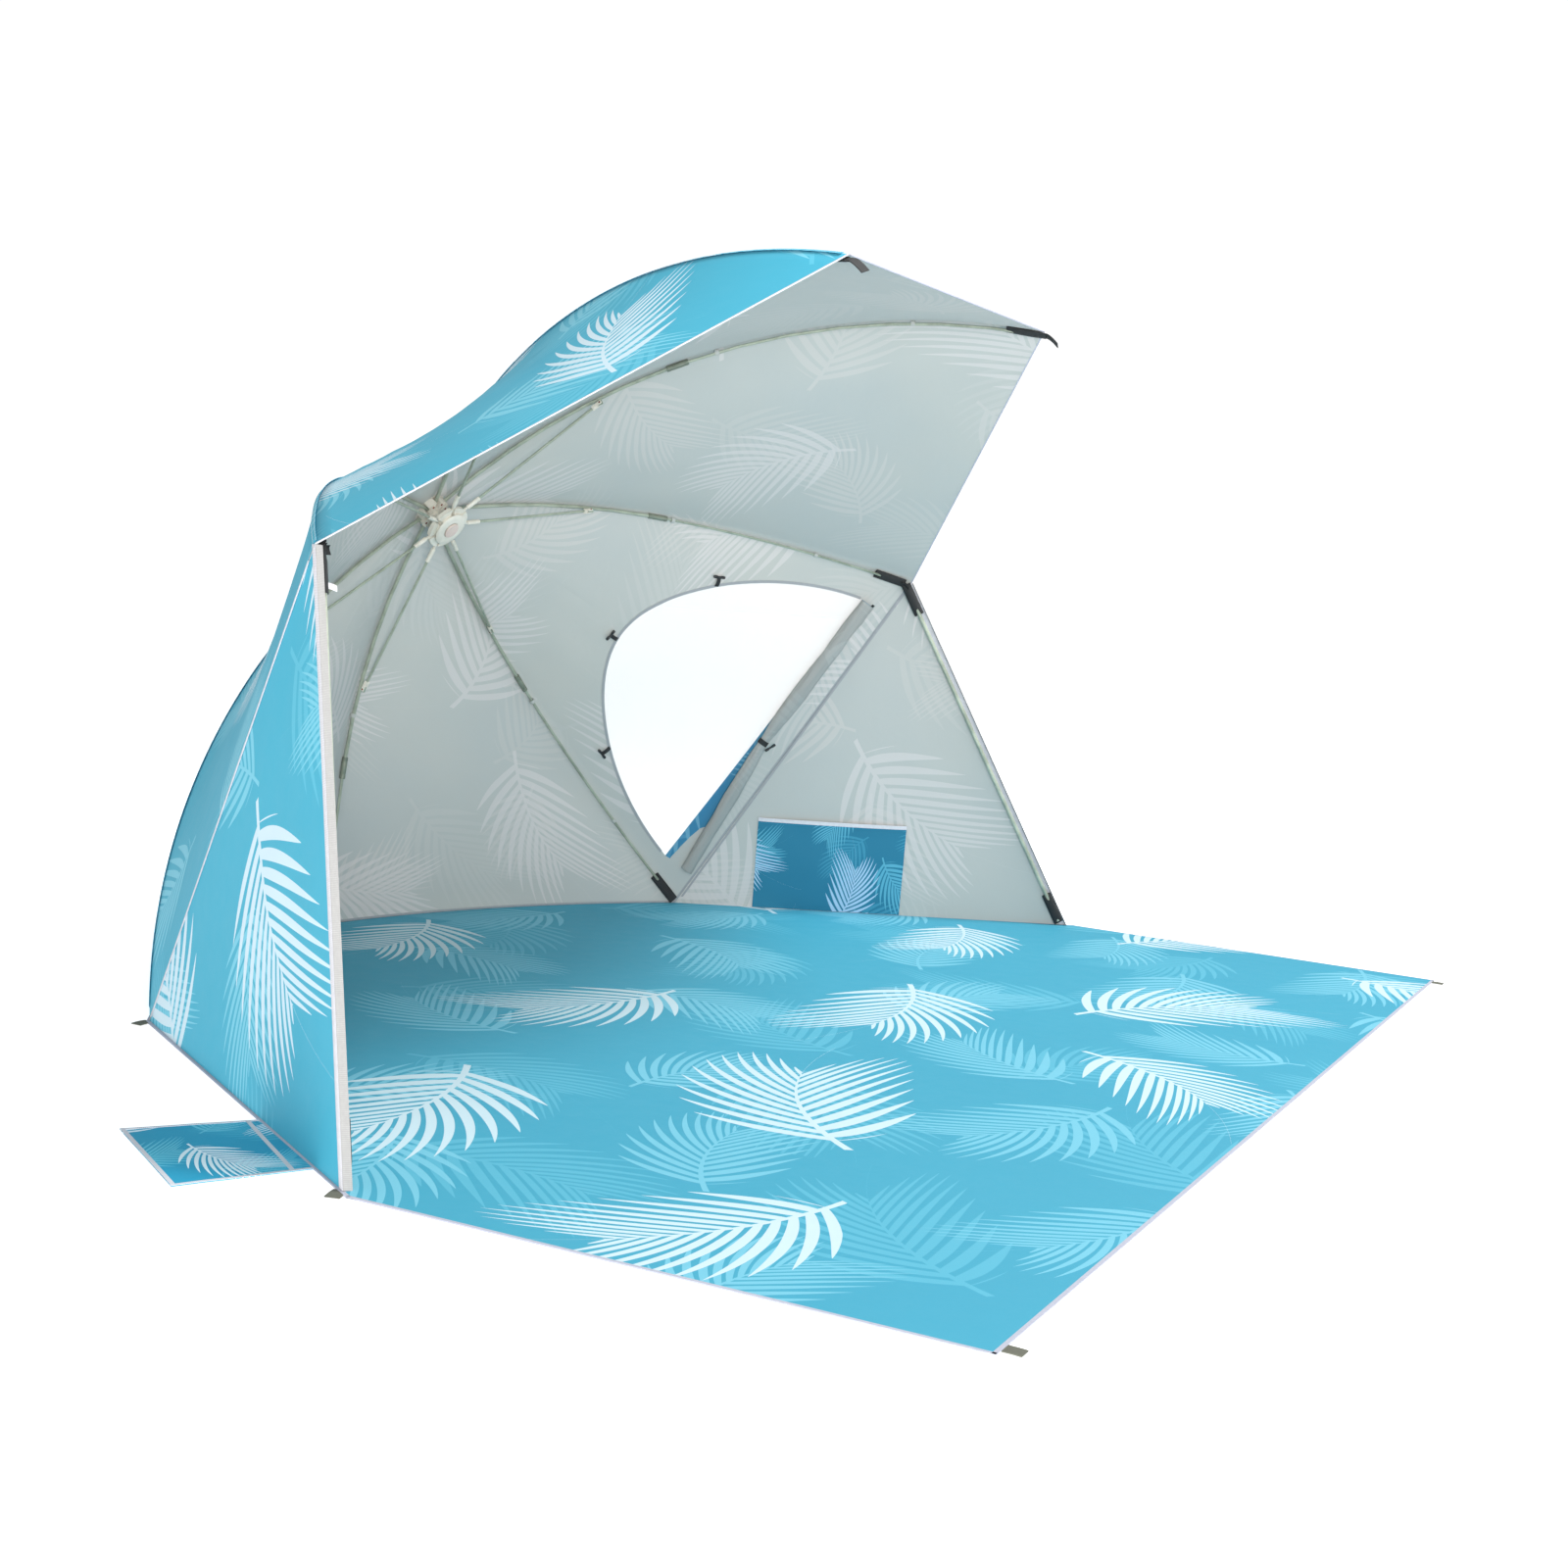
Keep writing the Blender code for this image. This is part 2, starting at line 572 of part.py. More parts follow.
def make_stretcher():
    outer, inner = joint_plane()
    length = (outer - inner).length
    width = FORK_GAP + 2 * FORK_EAR
    bm = bmesh.new()
    box_mesh(bm, (-FORK_NOSE, -width / 2, -FORK_HEIGHT / 2), (FORK_LENGTH, width / 2, FORK_HEIGHT / 2))
    shape = mesh_object("stretcher_shape", bm, ROD, CUTTERS)
    bm = bmesh.new()
    box_mesh(bm, (-FORK_NOSE - OVERRUN, -FORK_GAP / 2, -FORK_HEIGHT),
             (FORK_THROAT, FORK_GAP / 2, FORK_HEIGHT))
    boolean(shape, as_cutter(mesh_object("fork_slot", bm, collection=CUTTERS)), "DIFFERENCE")
    bm = bmesh.new()
    drum_mesh(bm, PIN_RADIUS, width - FORK_EAR, 8, Matrix.Rotation(pi / 2, 4, "X"))
    boolean(shape, as_cutter(mesh_object("fork_pin", bm, collection=CUTTERS)), "UNION")
    sleeve = length - TONGUE_LENGTH
    places = [FORK_LENGTH - OVERRUN, sleeve - SLEEVE_LENGTH, sleeve - SLEEVE_LENGTH + FERRULE_STEP, sleeve]
    radii = [STRETCHER_RADIUS, STRETCHER_RADIUS, SLEEVE_RADIUS, SLEEVE_RADIUS]
    bar = rod("stretcher_rod", [Vector((x, 0, 0)) for x in places], radii, ROD, 2, CUTTERS)
    boolean(shape, as_cutter(bar), "UNION")
    bm = bmesh.new()
    box_mesh(bm, (sleeve - OVERRUN, -TONGUE_THICK / 2, -TONGUE_HEIGHT / 2),
             (length + TONGUE_NOSE, TONGUE_THICK / 2, TONGUE_HEIGHT / 2))
    boolean(shape, as_cutter(mesh_object("tongue", bm, collection=CUTTERS)), "UNION")
    as_cutter(shape)
    return baked(shape, "stretcher")


def make_pocket(name, radius, thick, tongues=(), turn=0):
    """A webbing pocket: X runs from its closed end back along the rod, Z out to the cloth.

    Its tongues run past the closed end; each is a box's side edges, reach and thickness.
    """
    half, low, high = POCKET_WIDTH / 2, -thick / 2, thick / 2
    section = ((-half, low), (half, low), (half, -POCKET_SHOULDER), (POCKET_RIDGE, high),
               (-POCKET_RIDGE, high), (-half, -POCKET_SHOULDER))
    bm = bmesh.new()
    face = bm.faces.new([bm.verts.new((0, y, z)) for y, z in section])
    grown = bmesh.ops.extrude_face_region(bm, geom=[face])
    far = [item for item in grown["geom"] if isinstance(item, bmesh.types.BMVert)]
    bmesh.ops.translate(bm, verts=far, vec=(POCKET_LENGTH, 0, 0))
    shape = mesh_object(name + "_shape", bm, WEBBING, CUTTERS)
    bm = bmesh.new()
    first = POCKET_END - SEAM_GAP
    last = POCKET_LENGTH + OVERRUN
    drum_mesh(bm, bore_radius(radius, SEAM_GAP), last - first, 8,
              Matrix.Translation(((first + last) / 2, 0, 0)) @ Matrix.Rotation(pi / 2, 4, "Y"))
    boolean(shape, as_cutter(mesh_object(name + "_bore", bm, collection=CUTTERS)), "DIFFERENCE")
    if tongues:
        bm = bmesh.new()
        for left, right, reach, deep in tongues:
            box_mesh(bm, (-reach, left, -deep / 2), (OVERRUN, right, deep / 2))
        ends = as_cutter(mesh_object(name + "_tongues", bm, collection=CUTTERS))
        ends.matrix_world = Matrix.Rotation(turn, 4, "X")
        boolean(shape, ends, "UNION")
    as_cutter(shape)
    return baked(shape, name)


def shared(name, mesh, pivot, matrix=None):
    """An object that shares its mesh with its like."""
    obj = link(bpy.data.objects.new(name, mesh))
    obj.parent = pivot
    if matrix:
        obj.matrix_local = matrix
    return obj


# Front poles with their own webbing pockets; each swings on the elbow's knuckle
def pole_frame(side):
    """Elbow corner frame: X runs down the pole, Y is the knuckle's axis."""
    rib = RIBS[side + "_elbow"]
    along = (rib.end - rib.outer(STRAIGHT_SHARE)[0]).normalized()
    back = rib.frame.to_3x3() @ Vector((-along.x, 0, -along.y))
    sign = -1 if side == "left" else 1
    foot = Vector((sign * POLE_HALF_SPAN, POLE_LINE_Y, TIP_HEIGHT))
    down = (foot - rib.tip).normalized()
    axis = down.cross(back).normalized()
    return frame(rib.tip, down, down.cross(axis)), (foot - rib.tip).length, axis


def outer_rod_points(rib):
    """The outer rod's points: a bend, then a straight end that fits its pocket."""
    points = [rib.outer(STRAIGHT_SHARE * k / RIB_STEPS)[0] for k in range(RIB_STEPS + 1)]
    along = (rib.end - points[-1]).normalized()
    lean = arc_point(RIB_INNER_LENGTH)[1]
    inner_end = rib.ferrule - Vector((cos(lean), -sin(lean))) * (FERRULE_DEPTH - SEAM_GAP)
    reach = KNUCKLE_REACH + POCKET_END if "elbow" in rib.name else 0
    return [inner_end] + points + [rib.end - along * reach], along


def make_ribs():
    inner_mesh = make_inner_rod()
    stretcher_mesh = make_stretcher()
    centre_tongue = (-KNUCKLE_HALF, KNUCKLE_HALF, KNUCKLE_REACH + KNUCKLE_THICK / 2, KNUCKLE_THICK)
    plain = make_pocket("plain_pocket", RIB_OUTER_RADIUS, POCKET_THICK)
    brow_tab = (-POCKET_WIDTH / 2, POCKET_WIDTH / 2, BROW_TAB, TAB_THICK)
    brow = make_pocket("brow_pocket", RIB_OUTER_RADIUS, POCKET_THICK, (brow_tab,))
    outer, inner = joint_plane()
    pivots = {}
    for name in ORDER:
        rib = RIBS[name]
        pivot = empty(name + "_rib_pivot", rib.frame @ Matrix.Translation(HINGE))
        pivots[name] = pivot
        shared(name + "_rib_inner", inner_mesh, pivot)
        points, along = outer_rod_points(rib)
        attach(rod(name + "_rib_outer", [plane(p) for p in points], [RIB_OUTER_RADIUS] * len(points), ROD, 1),
               pivot)
        end = points[-1] + along * POCKET_END
        back = Vector((-along.x, 0, -along.y))
        place = frame(plane(end), back, Vector((-along.y, 0, along.x)))
        pocket = brow if name.endswith("brow") else plain
        if name.endswith("elbow"):
            knuckle = pole_frame(name.split("_")[0])[2]
            across = (rib.frame @ place).to_3x3().inverted() @ knuckle
            pocket = make_pocket(name + "_pocket", RIB_OUTER_RADIUS, POCKET_THICK, (centre_tongue,),
                                 atan2(across.z, across.y))
        shared(name + "_rib_pocket", pocket, pivot, place)
        inward = (inner - outer).normalized()
        swing = empty(name + "_stretcher_pivot",
                      frame(outer, inward, Vector((-inward.z, 0, inward.x))), pivot)
        shared(name + "_stretcher", stretcher_mesh, swing)
    return pivots


# Runner and its latch button
def make_runner():
    pivot = empty("runner_pivot", crown_frame @ Matrix.Translation((0, 0, -RUNNER_DROP)))
    bore = POST_RADIUS + RUN_GAP
    floor = RUNNER_DROP - POST_DROP - SEAM_GAP
    boss = RUNNER_DROP - RUNNER_BOSS_DROP
    face = RUNNER_DROP - RUNNER_FACE_DROP
    recess = RUNNER_DROP - BUTTON_RECESS_DROP
    edge = OVERRUN
    shape = turned("runner", [(0, floor), (bore, floor), (bore, boss), (RUNNER_BOSS_RADIUS, boss),
                              (RUNNER_BOSS_RADIUS, RUNNER_FLANGE_HALF),
                              (RUNNER_FLANGE_RADIUS, RUNNER_FLANGE_HALF),
                              (RUNNER_FLANGE_RADIUS, -RUNNER_FLANGE_HALF),
                              (RUNNER_RING_RADIUS, -RUNNER_FLANGE_HALF),
                              (RUNNER_RING_RADIUS, face + edge), (RUNNER_RING_RADIUS - edge, face),
                              (BUTTON_RADIUS + SEAM_GAP, face), (BUTTON_RADIUS + SEAM_GAP, recess),
                              (0, recess)], MOULDED)
    slots = slot_cutter("runner_slots", RUNNER_SLOT_INNER, RUNNER_FLANGE_RADIUS + OVERRUN,
                        RUNNER_SLOT_HALF_WIDTH, face - OVERRUN, RUNNER_FLANGE_HALF + OVERRUN)
    attach(shape, pivot)
    attach(slots, pivot)
    boolean(shape, slots, "DIFFERENCE")
    back = recess - SEAM_GAP - BUTTON_TRAVEL
    front = face - BUTTON_PROUD
    button = turned("runner_button", [(0, back), (BUTTON_RADIUS, back), (BUTTON_RADIUS, front + edge / 2),
                                      (BUTTON_RADIUS - edge, front), (0, front)], BUTTON_PLASTIC)
    attach(button, pivot)
    return pivot


# Front poles
def make_poles():
    side_tongues = tuple((low, high, KNUCKLE_REACH + KNUCKLE_THICK / 2, KNUCKLE_THICK)
                         for low, high in ((KNUCKLE_HALF + SEAM_GAP, KNUCKLE_OUTER),
                                           (-KNUCKLE_OUTER, -KNUCKLE_HALF - SEAM_GAP)))
    foot_mesh = make_pocket("pole_foot_pocket", POLE_RADIUS, POLE_POCKET_THICK)
    for side in ("left", "right"):
        place, length, axis = pole_frame(side)
        pivot = empty(side + "_pole_pivot", place)
        top = KNUCKLE_REACH + POCKET_END
        pole = rod(side + "_pole", [Vector((top, 0, 0)), Vector((length, 0, 0))], [POLE_RADIUS] * 2, ROD, 4)
        attach(pole, pivot)
        flat = place.to_3x3().inverted() @ wall_corners(side)[3]
        flat.x = 0
        turn = atan2(flat.y, flat.z)
        top_mesh = make_pocket(side + "_pole_top_pocket", POLE_RADIUS, POLE_POCKET_THICK, side_tongues, turn)
        shared(side + "_pole_top_pocket", top_mesh, pivot,
               frame(Vector((KNUCKLE_REACH, 0, 0)), Vector((1, 0, 0)), flat))
        shared(side + "_pole_foot_pocket", foot_mesh, pivot,
               frame(Vector((length + POCKET_END, 0, 0)), Vector((-1, 0, 0)), flat))


# Canopy panels between the ribs
class Panel:
    """Cloth between two ribs: its inner face by shares across it and from crown to hem."""

    def __init__(self, first, second):
        self.ribs = RIBS[first], RIBS[second]
        self.bowed = self.ribs[0].ground and self.ribs[1].ground

    def inner(self, across, down, gap=True):
        (a, out_a), (b, out_b) = (rib.ridge(down) for rib in self.ribs)
        step = (b - a).normalized() * (SEAM_GAP / 2 if gap else 0)
        a, b = a + step, b - step
        arch = 4 * across * (1 - across)
        out = (out_a + out_b).normalized()
        place = a.lerp(b, across) - out * (CLOTH_SAG * arch * 4 * down * (1 - down))
        if self.bowed:
            level = Vector((out.x, out.y, 0)).normalized()
            place += level * (BACK_BOW * arch * down ** 4)
        return place

    def facet(self, across, down):
        """A point on the modelled grid itself, which is flatter than the true surface."""
        i = min(int(across * PANEL_ACROSS), PANEL_ACROSS - 1)
        j = min(int(down * PANEL_DOWN), PANEL_DOWN - 1)
        p, q = across * PANEL_ACROSS - i, down * PANEL_DOWN - j
        near, far = ([self.inner((i + m) / PANEL_ACROSS, (j + n) / PANEL_DOWN) for m in (0, 1)]
                     for n in (0, 1))
        return near[0].lerp(near[1], p).lerp(far[0].lerp(far[1], p), q)

    def normal(self, across, down):
        e = SURFACE_STEP_SHARE
        du = self.inner(across + e, down, False) - self.inner(across - e, down, False)
        dv = self.inner(across, down + e, False) - self.inner(across, down - e, False)
        n = du.cross(dv).normalized()
        return n if n.dot(self.inner(across, down) - CROWN + AXIS * CROWN_Z) > 0 else -n

    def sheet(self, name, lift, thickness, mat, collection=None):
        bm = bmesh.new()
        bmesh.ops.create_grid(bm, x_segments=PANEL_ACROSS, y_segments=PANEL_DOWN, size=0.5)
        for vert in bm.verts:
            across, down = vert.co.x + 0.5, vert.co.y + 0.5
            vert.co = self.inner(across, down)
        out = self.normal(0.5, 0.5)
        bm.normal_update()
        if sum(face.normal.dot(out) for face in bm.faces) < 0:
            bmesh.ops.reverse_faces(bm, faces=bm.faces)
        bm.normal_update()
        if lift:
            for vert in bm.verts:
                vert.co += vert.normal * lift
        mesh = bpy.data.meshes.new(name)
        bm.to_mesh(mesh)
        bm.free()
        mesh.materials.append(mat)
        obj = link(bpy.data.objects.new(name, mesh), collection)
        solidify(obj, thickness)
        return obj


PANELS = {
    "left_front_panel": Panel("left_brow", "left_elbow"),
    "left_side_panel": Panel("left_elbow", "left_corner"),
    "left_back_panel": Panel("left_corner", "back"),
    "right_back_panel": Panel("back", "right_corner"),
    "right_side_panel": Panel("right_corner", "right_elbow"),
    "right_front_panel": Panel("right_elbow", "right_brow"),
    "top_panel": Panel("right_brow", "left_brow"),
}
WINDOW_PANEL = PANELS["right_side_panel"]


# Window: the cut in its panel, the net, the rolled flap, its tie and the toggles
def window_point(share, inset):
    """A point of the window's bow by shares of its panel, drawn in by a length."""
    width = (WINDOW_PANEL.inner(1, WINDOW_EDGE_SHARE) - WINDOW_PANEL.inner(0, WINDOW_EDGE_SHARE)).length
    height = (WINDOW_PANEL.inner(0.5, 1) - WINDOW_PANEL.inner(0.5, 0)).length
    first, last = WINDOW_FIRST_SHARE + inset / width, WINDOW_LAST_SHARE - inset / width
    edge, top = WINDOW_EDGE_SHARE - inset / height, WINDOW_CROWN_SHARE + inset / height
    turn = pi * share
    return ((first + last) / 2 + (last - first) / 2 * cos(turn),
            edge - (edge - top) * max(sin(turn), 0) ** WINDOW_BOW_POWER)


def window_outline(inset):
    return [window_point(k / WINDOW_STEPS, inset) for k in range(WINDOW_STEPS + 1)]


def window_prism(name, inset):
    out = WINDOW_PANEL.normal(*WINDOW_AIM_SHARES)
    ring = [WINDOW_PANEL.inner(across, down) - out * WINDOW_CUT_DEPTH
            for across, down in window_outline(inset)]
    bm = bmesh.new()
    face = bm.faces.new([bm.verts.new(point) for point in ring])
    walls = bmesh.ops.extrude_face_region(bm, geom=[face])
    top = [item for item in walls["geom"] if isinstance(item, bmesh.types.BMVert)]
    bmesh.ops.translate(bm, verts=top, vec=out * (2 * WINDOW_CUT_DEPTH))
    return as_cutter(mesh_object(name, bm, collection=CUTTERS))


def window_edge(across, hemward, inward):
    """A point near the window's straight edge: along it, towards the hem and into the tent."""
    a, b = WINDOW_PANEL.inner(0, WINDOW_EDGE_SHARE), WINDOW_PANEL.inner(1, WINDOW_EDGE_SHARE)
    place = WINDOW_PANEL.inner(across, WINDOW_EDGE_SHARE)
    out = WINDOW_PANEL.normal(0.5, WINDOW_EDGE_SHARE)
    hem = (b - a).normalized().cross(out)
    if hem.dot(WINDOW_PANEL.inner(0.5, 1) - WINDOW_PANEL.inner(0.5, WINDOW_EDGE_SHARE)) < 0:
        hem = -hem
    return place + hem * hemward - out * inward


def make_window(panel_object):
    boolean(panel_object, window_prism("window_cut", 0), "DIFFERENCE")
    net = WINDOW_PANEL.sheet("window_net", (CLOTH - MESH_THICK) / 2, MESH_THICK, NET)
    boolean(net, window_prism("net_outline", SEAM_GAP), "INTERSECT")

    hinge = window_edge(0.5, 0, 0)
    inward = FLAP_RADIUS + TIE_THICK + FLAP_GAP
    pivot = empty("window_flap_pivot", Matrix.Translation(hinge))
    steps = [WINDOW_FIRST_SHARE + (WINDOW_LAST_SHARE - WINDOW_FIRST_SHARE) * k / FLAP_STEPS
             for k in range(FLAP_STEPS + 1)]
    line = [window_edge(share, FLAP_HEMWARD, inward) - hinge for share in steps]
    attach(rod("window_flap", line, [FLAP_RADIUS] * len(line), ROLL_CLOTH, 3), pivot)

    middle = line[FLAP_STEPS // 2]
    along = (line[FLAP_STEPS // 2 + 1] - line[FLAP_STEPS // 2 - 1]).normalized()
    out = WINDOW_PANEL.normal(0.5, WINDOW_EDGE_SHARE)
    ring_place = frame(middle, along.cross(out), along)
    inner, outer = FLAP_RADIUS + SEAM_GAP, FLAP_RADIUS + SEAM_GAP + TIE_THICK
    tie = turned("flap_tie", [(inner, TIE_WIDTH / 2), (outer, TIE_WIDTH / 2), (outer, -TIE_WIDTH / 2),
                              (inner, -TIE_WIDTH / 2), (inner, TIE_WIDTH / 2)], WEBBING)
    tie.parent = pivot
    tie.matrix_local = ring_place

    make_binding()


def make_binding():
    """The binding round the window's bow, on the cloth's inner face, with its three toggles."""
    rows = []
    for inset in (-BINDING_WIDTH, -SEAM_GAP):
        row = []
        for across, down in window_outline(inset):
            normal = WINDOW_PANEL.normal(across, down)
            row.append(WINDOW_PANEL.facet(across, down) - normal * 2 * SEAM_GAP)
        rows.append(row)
    bm = bmesh.new()
    verts = [[bm.verts.new(point) for point in row] for row in rows]
    for k in range(len(rows[0]) - 1):
        bm.faces.new((verts[0][k], verts[0][k + 1], verts[1][k + 1], verts[1][k]))
    bm.normal_update()
    if sum(face.normal.dot(WINDOW_PANEL.normal(*WINDOW_AIM_SHARES)) for face in bm.faces) > 0:
        bmesh.ops.reverse_faces(bm, faces=bm.faces)
    mesh = bpy.data.meshes.new("window_binding")
    bm.to_mesh(mesh)
    bm.free()
    mesh.materials.append(TAB_WEBBING)
    band = link(bpy.data.objects.new("window_binding", mesh))
    solidify(band, BINDING_THICK)
    for number, share in enumerate(TOGGLE_SHARES):
        across, down = window_point(share, -BINDING_WIDTH / 2)
        normal = WINDOW_PANEL.normal(across, down)
        place = WINDOW_PANEL.facet(across, down) - normal * 2 * SEAM_GAP
        centre = WINDOW_PANEL.inner(*WINDOW_MIDDLE_SHARES)
        away = place - centre
        at = frame(place - normal * TOGGLE_LIFT, (away - normal * away.dot(normal)), -normal)
        bm = bmesh.new()
        drum_mesh(bm, TOGGLE_RADIUS, TOGGLE_LENGTH, 8, at @ Matrix.Rotation(pi / 2, 4, "X"))
        bar = as_cutter(mesh_object("toggle_bar_%d" % number, bm, collection=CUTTERS))
        stem_length = TOGGLE_LIFT - BINDING_THICK / 2
        bm = bmesh.new()
        drum_mesh(bm, TOGGLE_RADIUS / 2, stem_length, 6, at @ Matrix.Translation((0, 0, -stem_length / 2)))
        stem = as_cutter(mesh_object("toggle_stem_%d" % number, bm, collection=CUTTERS))
        boolean(band, stem, "UNION")
        boolean(band, bar, "UNION")


# Floor, apron, side walls, storage pocket, tabs and sand flaps
def hem_outline():
    """The floor's outline on the ground, a margin outside the walls."""
    points = []
    for name in ("right_back_panel", "left_back_panel"):
        panel = PANELS[name]
        for k in range(HEM_STEPS + 1):
            place = panel.inner(1 - k / HEM_STEPS, 1, False)
            level = Vector((place.x, place.y - CORNER_Y + BACK_TIP_Y / 2, 0)).normalized()
            points.append((place + level * (CLOTH + FLOOR_MARGIN)).to_2d())
    tidy = [points[0]]
    for point in points[1:]:
        if (point - tidy[-1]).length > HEM_LEAST_STEP:
            tidy.append(point)
    return tidy


def wall_corners(side):
    """A side wall's inner corners at the elbow, the back corner and the pole's foot, and its way out."""
    sign = -1 if side == "left" else 1
    elbow = RIBS[side + "_elbow"].ridge(1)[0]
    corner = RIBS[side + "_corner"].ridge(1)[0]
    foot = Vector((sign * POLE_HALF_SPAN, POLE_LINE_Y, TIP_HEIGHT))
    down = (foot - RIBS[side + "_elbow"].tip).normalized()
    foot = foot + down * ((foot.z - SEAM_Z) / -down.z)
    out = (corner - elbow).cross(foot - elbow).normalized()
    if out.x * sign < 0:
        out = -out
    level = Vector((out.x, out.y, 0)).normalized()
    foot = foot + level * WALL_OFFSET
    out = (corner - elbow).cross(foot - elbow).normalized()
    return elbow, corner, foot, out if out.x * sign > 0 else -out


def make_wall(side):
    elbow, corner, foot, out = wall_corners(side)
    base = (foot - corner).normalized()
    elbow = elbow + (corner - elbow).normalized() * WALL_BACK_TOP
    foot = foot - base * WALL_BACK_FOOT
    corner = corner + base * WALL_INSET
    bm = bmesh.new()
    bm.faces.new([bm.verts.new(point) for point in (elbow, corner, foot)])
    bm.normal_update()
    if bm.faces[:][0].normal.dot(out) < 0:
        bmesh.ops.reverse_faces(bm, faces=bm.faces)
    mesh = bpy.data.meshes.new(side + "_wall")
    bm.to_mesh(mesh)
    bm.free()
    mesh.materials.append(PRINT_CLOTH)
    wall = link(bpy.data.objects.new(side + "_wall", mesh))
    solidify(wall, CLOTH)
    return corner, foot, out


def make_storage(corner, foot, out):
    """The pocket inside the right wall: a patch sewn on along its foot and sides, open at its top."""
    along = (corner - foot).normalized()
    up = along.cross(out)
    up = up if up.z > 0 else -up
    stand_off = SEAM_GAP + STORAGE_DEPTH
    clear = max(0, out.z / up.z) * stand_off
    place = frame(foot - out * stand_off + up * clear, along, out)
    sign = (place.inverted().to_3x3() @ up).y
    bm = bmesh.new()
    low, high = sorted((0, sign * STORAGE_HEIGHT))
    box_mesh(bm, (STORAGE_FROM, low, 0), (STORAGE_TO, high, STORAGE_DEPTH))
    storage = mesh_object("storage_pocket", bm, DEEP_CLOTH)
    storage.matrix_world = place
    bm = bmesh.new()
    low, high = sorted((sign * STORAGE_SEAM, sign * (STORAGE_HEIGHT + OVERRUN)))
    box_mesh(bm, (STORAGE_FROM + STORAGE_SEAM, low, STORAGE_CLOTH),
             (STORAGE_TO - STORAGE_SEAM, high, STORAGE_DEPTH + OVERRUN))
    hollow = as_cutter(mesh_object("storage_hollow", bm, collection=CUTTERS))
    hollow.matrix_world = place
    boolean(storage, hollow, "DIFFERENCE")


def sew_tab(sheet, corner, direction):
    """A peg tab, united with the sheet that it is sewn on."""
    along = Vector((*direction, 0)).normalized()
    place = frame(Vector((*corner, 0)), along, Vector((0, 0, 1)))
    bm = bmesh.new()
    box_mesh(bm, (-TAB_SEWN, -TAB_WIDTH / 2, 0), (TAB_LENGTH, TAB_WIDTH / 2, TAB_THICK))
    tab = as_cutter(mesh_object(sheet.name + "_tab", bm, collection=CUTTERS))
    tab.matrix_world = place
    boolean(sheet, tab, "UNION")


def make_ground_cloth():
    hem = hem_outline()
    front_y = APRON_LINE_Y + SEAM_GAP / 2
    foot, out = wall_corners("right")[2:]
    level = Vector((out.x, out.y)).normalized()
    edge = foot.to_2d() + level * (CLOTH + FLOOR_MARGIN)
    front_x = edge.x + (edge.y - front_y) * level.y / level.x
    outline = hem + [Vector((-front_x, front_y)), Vector((front_x, front_y))]
    floor = flat_sheet("floor_sheet", [tuple(point) for point in outline], 0, CLOTH, PRINT_CLOTH)
    front_corner = Vector((-front_x, front_y))
    along = (hem[-1] - front_corner).normalized()
    sew_tab(floor, front_corner + along * TAB_WIDTH, (-1, -TAB_SLANT_SHARE))
    for corner in (hem[0], hem[-1]):
        sew_tab(floor, corner, (corner.x, 0))

    back_y = -SEAM_GAP / 2
    reach = APRON_CORNER_Y - APRON_LINE_Y
    pivot = empty("apron_pivot", Matrix.Translation((0, APRON_LINE_Y, FLOOR_TOP)))
    apron = flat_sheet("apron", [(-front_x, back_y), (-APRON_CORNER_X, reach), (APRON_CORNER_X, reach),
                                 (front_x, back_y)], -FLOOR_TOP, CLOTH, PRINT_CLOTH)
    attach(apron, pivot)
    for sign in (-1, 1):
        sew_tab(apron, (sign * (APRON_CORNER_X - TAB_WIDTH), APRON_CORNER_Y), (0, -1))
    return hem, front_x, front_y


def make_sand_flap(side, hem, front_x, front_y):
    sign = -1 if side == "left" else 1
    corner = hem[-1] if side == "left" else hem[0]
    foot = Vector((sign * front_x, front_y))
    along = (foot - corner).normalized()
    out = Vector((along.y, -along.x))
    out = out if out.x * sign > 0 else -out
    start = corner.lerp(foot, SAND_FROM_SHARE) + out * SEAM_GAP
    stop = corner.lerp(foot, SAND_TO_SHARE) + out * SEAM_GAP
    pivot = empty(side + "_sand_flap_pivot", Matrix.Translation((*start, FLOOR_TOP)))
    outline = [start - start, stop - start, stop - start + out * SAND_REACH + along * SAND_FLARE,
               out * SAND_REACH - along * SAND_FLARE]
    flap = flat_sheet(side + "_sand_flap", [tuple(point) for point in outline], -FLOOR_TOP, CLOTH,
                      DEEP_CLOTH)
    attach(flap, pivot)


make_crown()
make_ribs()
make_runner()
make_poles()
for panel_name, panel in PANELS.items():
    cloth = panel.sheet(panel_name, 0, CLOTH, PRINT_CLOTH)
    if panel is WINDOW_PANEL:
        make_window(cloth)
make_wall("left")
make_storage(*make_wall("right"))
ground = make_ground_cloth()
for flap_side in ("left", "right"):
    make_sand_flap(flap_side, *ground)
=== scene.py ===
"""Beach tent, dressed: a seven-rib umbrella frame that leans back, with its sewn canopy and floor."""
import json
from math import atan2, cos, pi, radians, sin

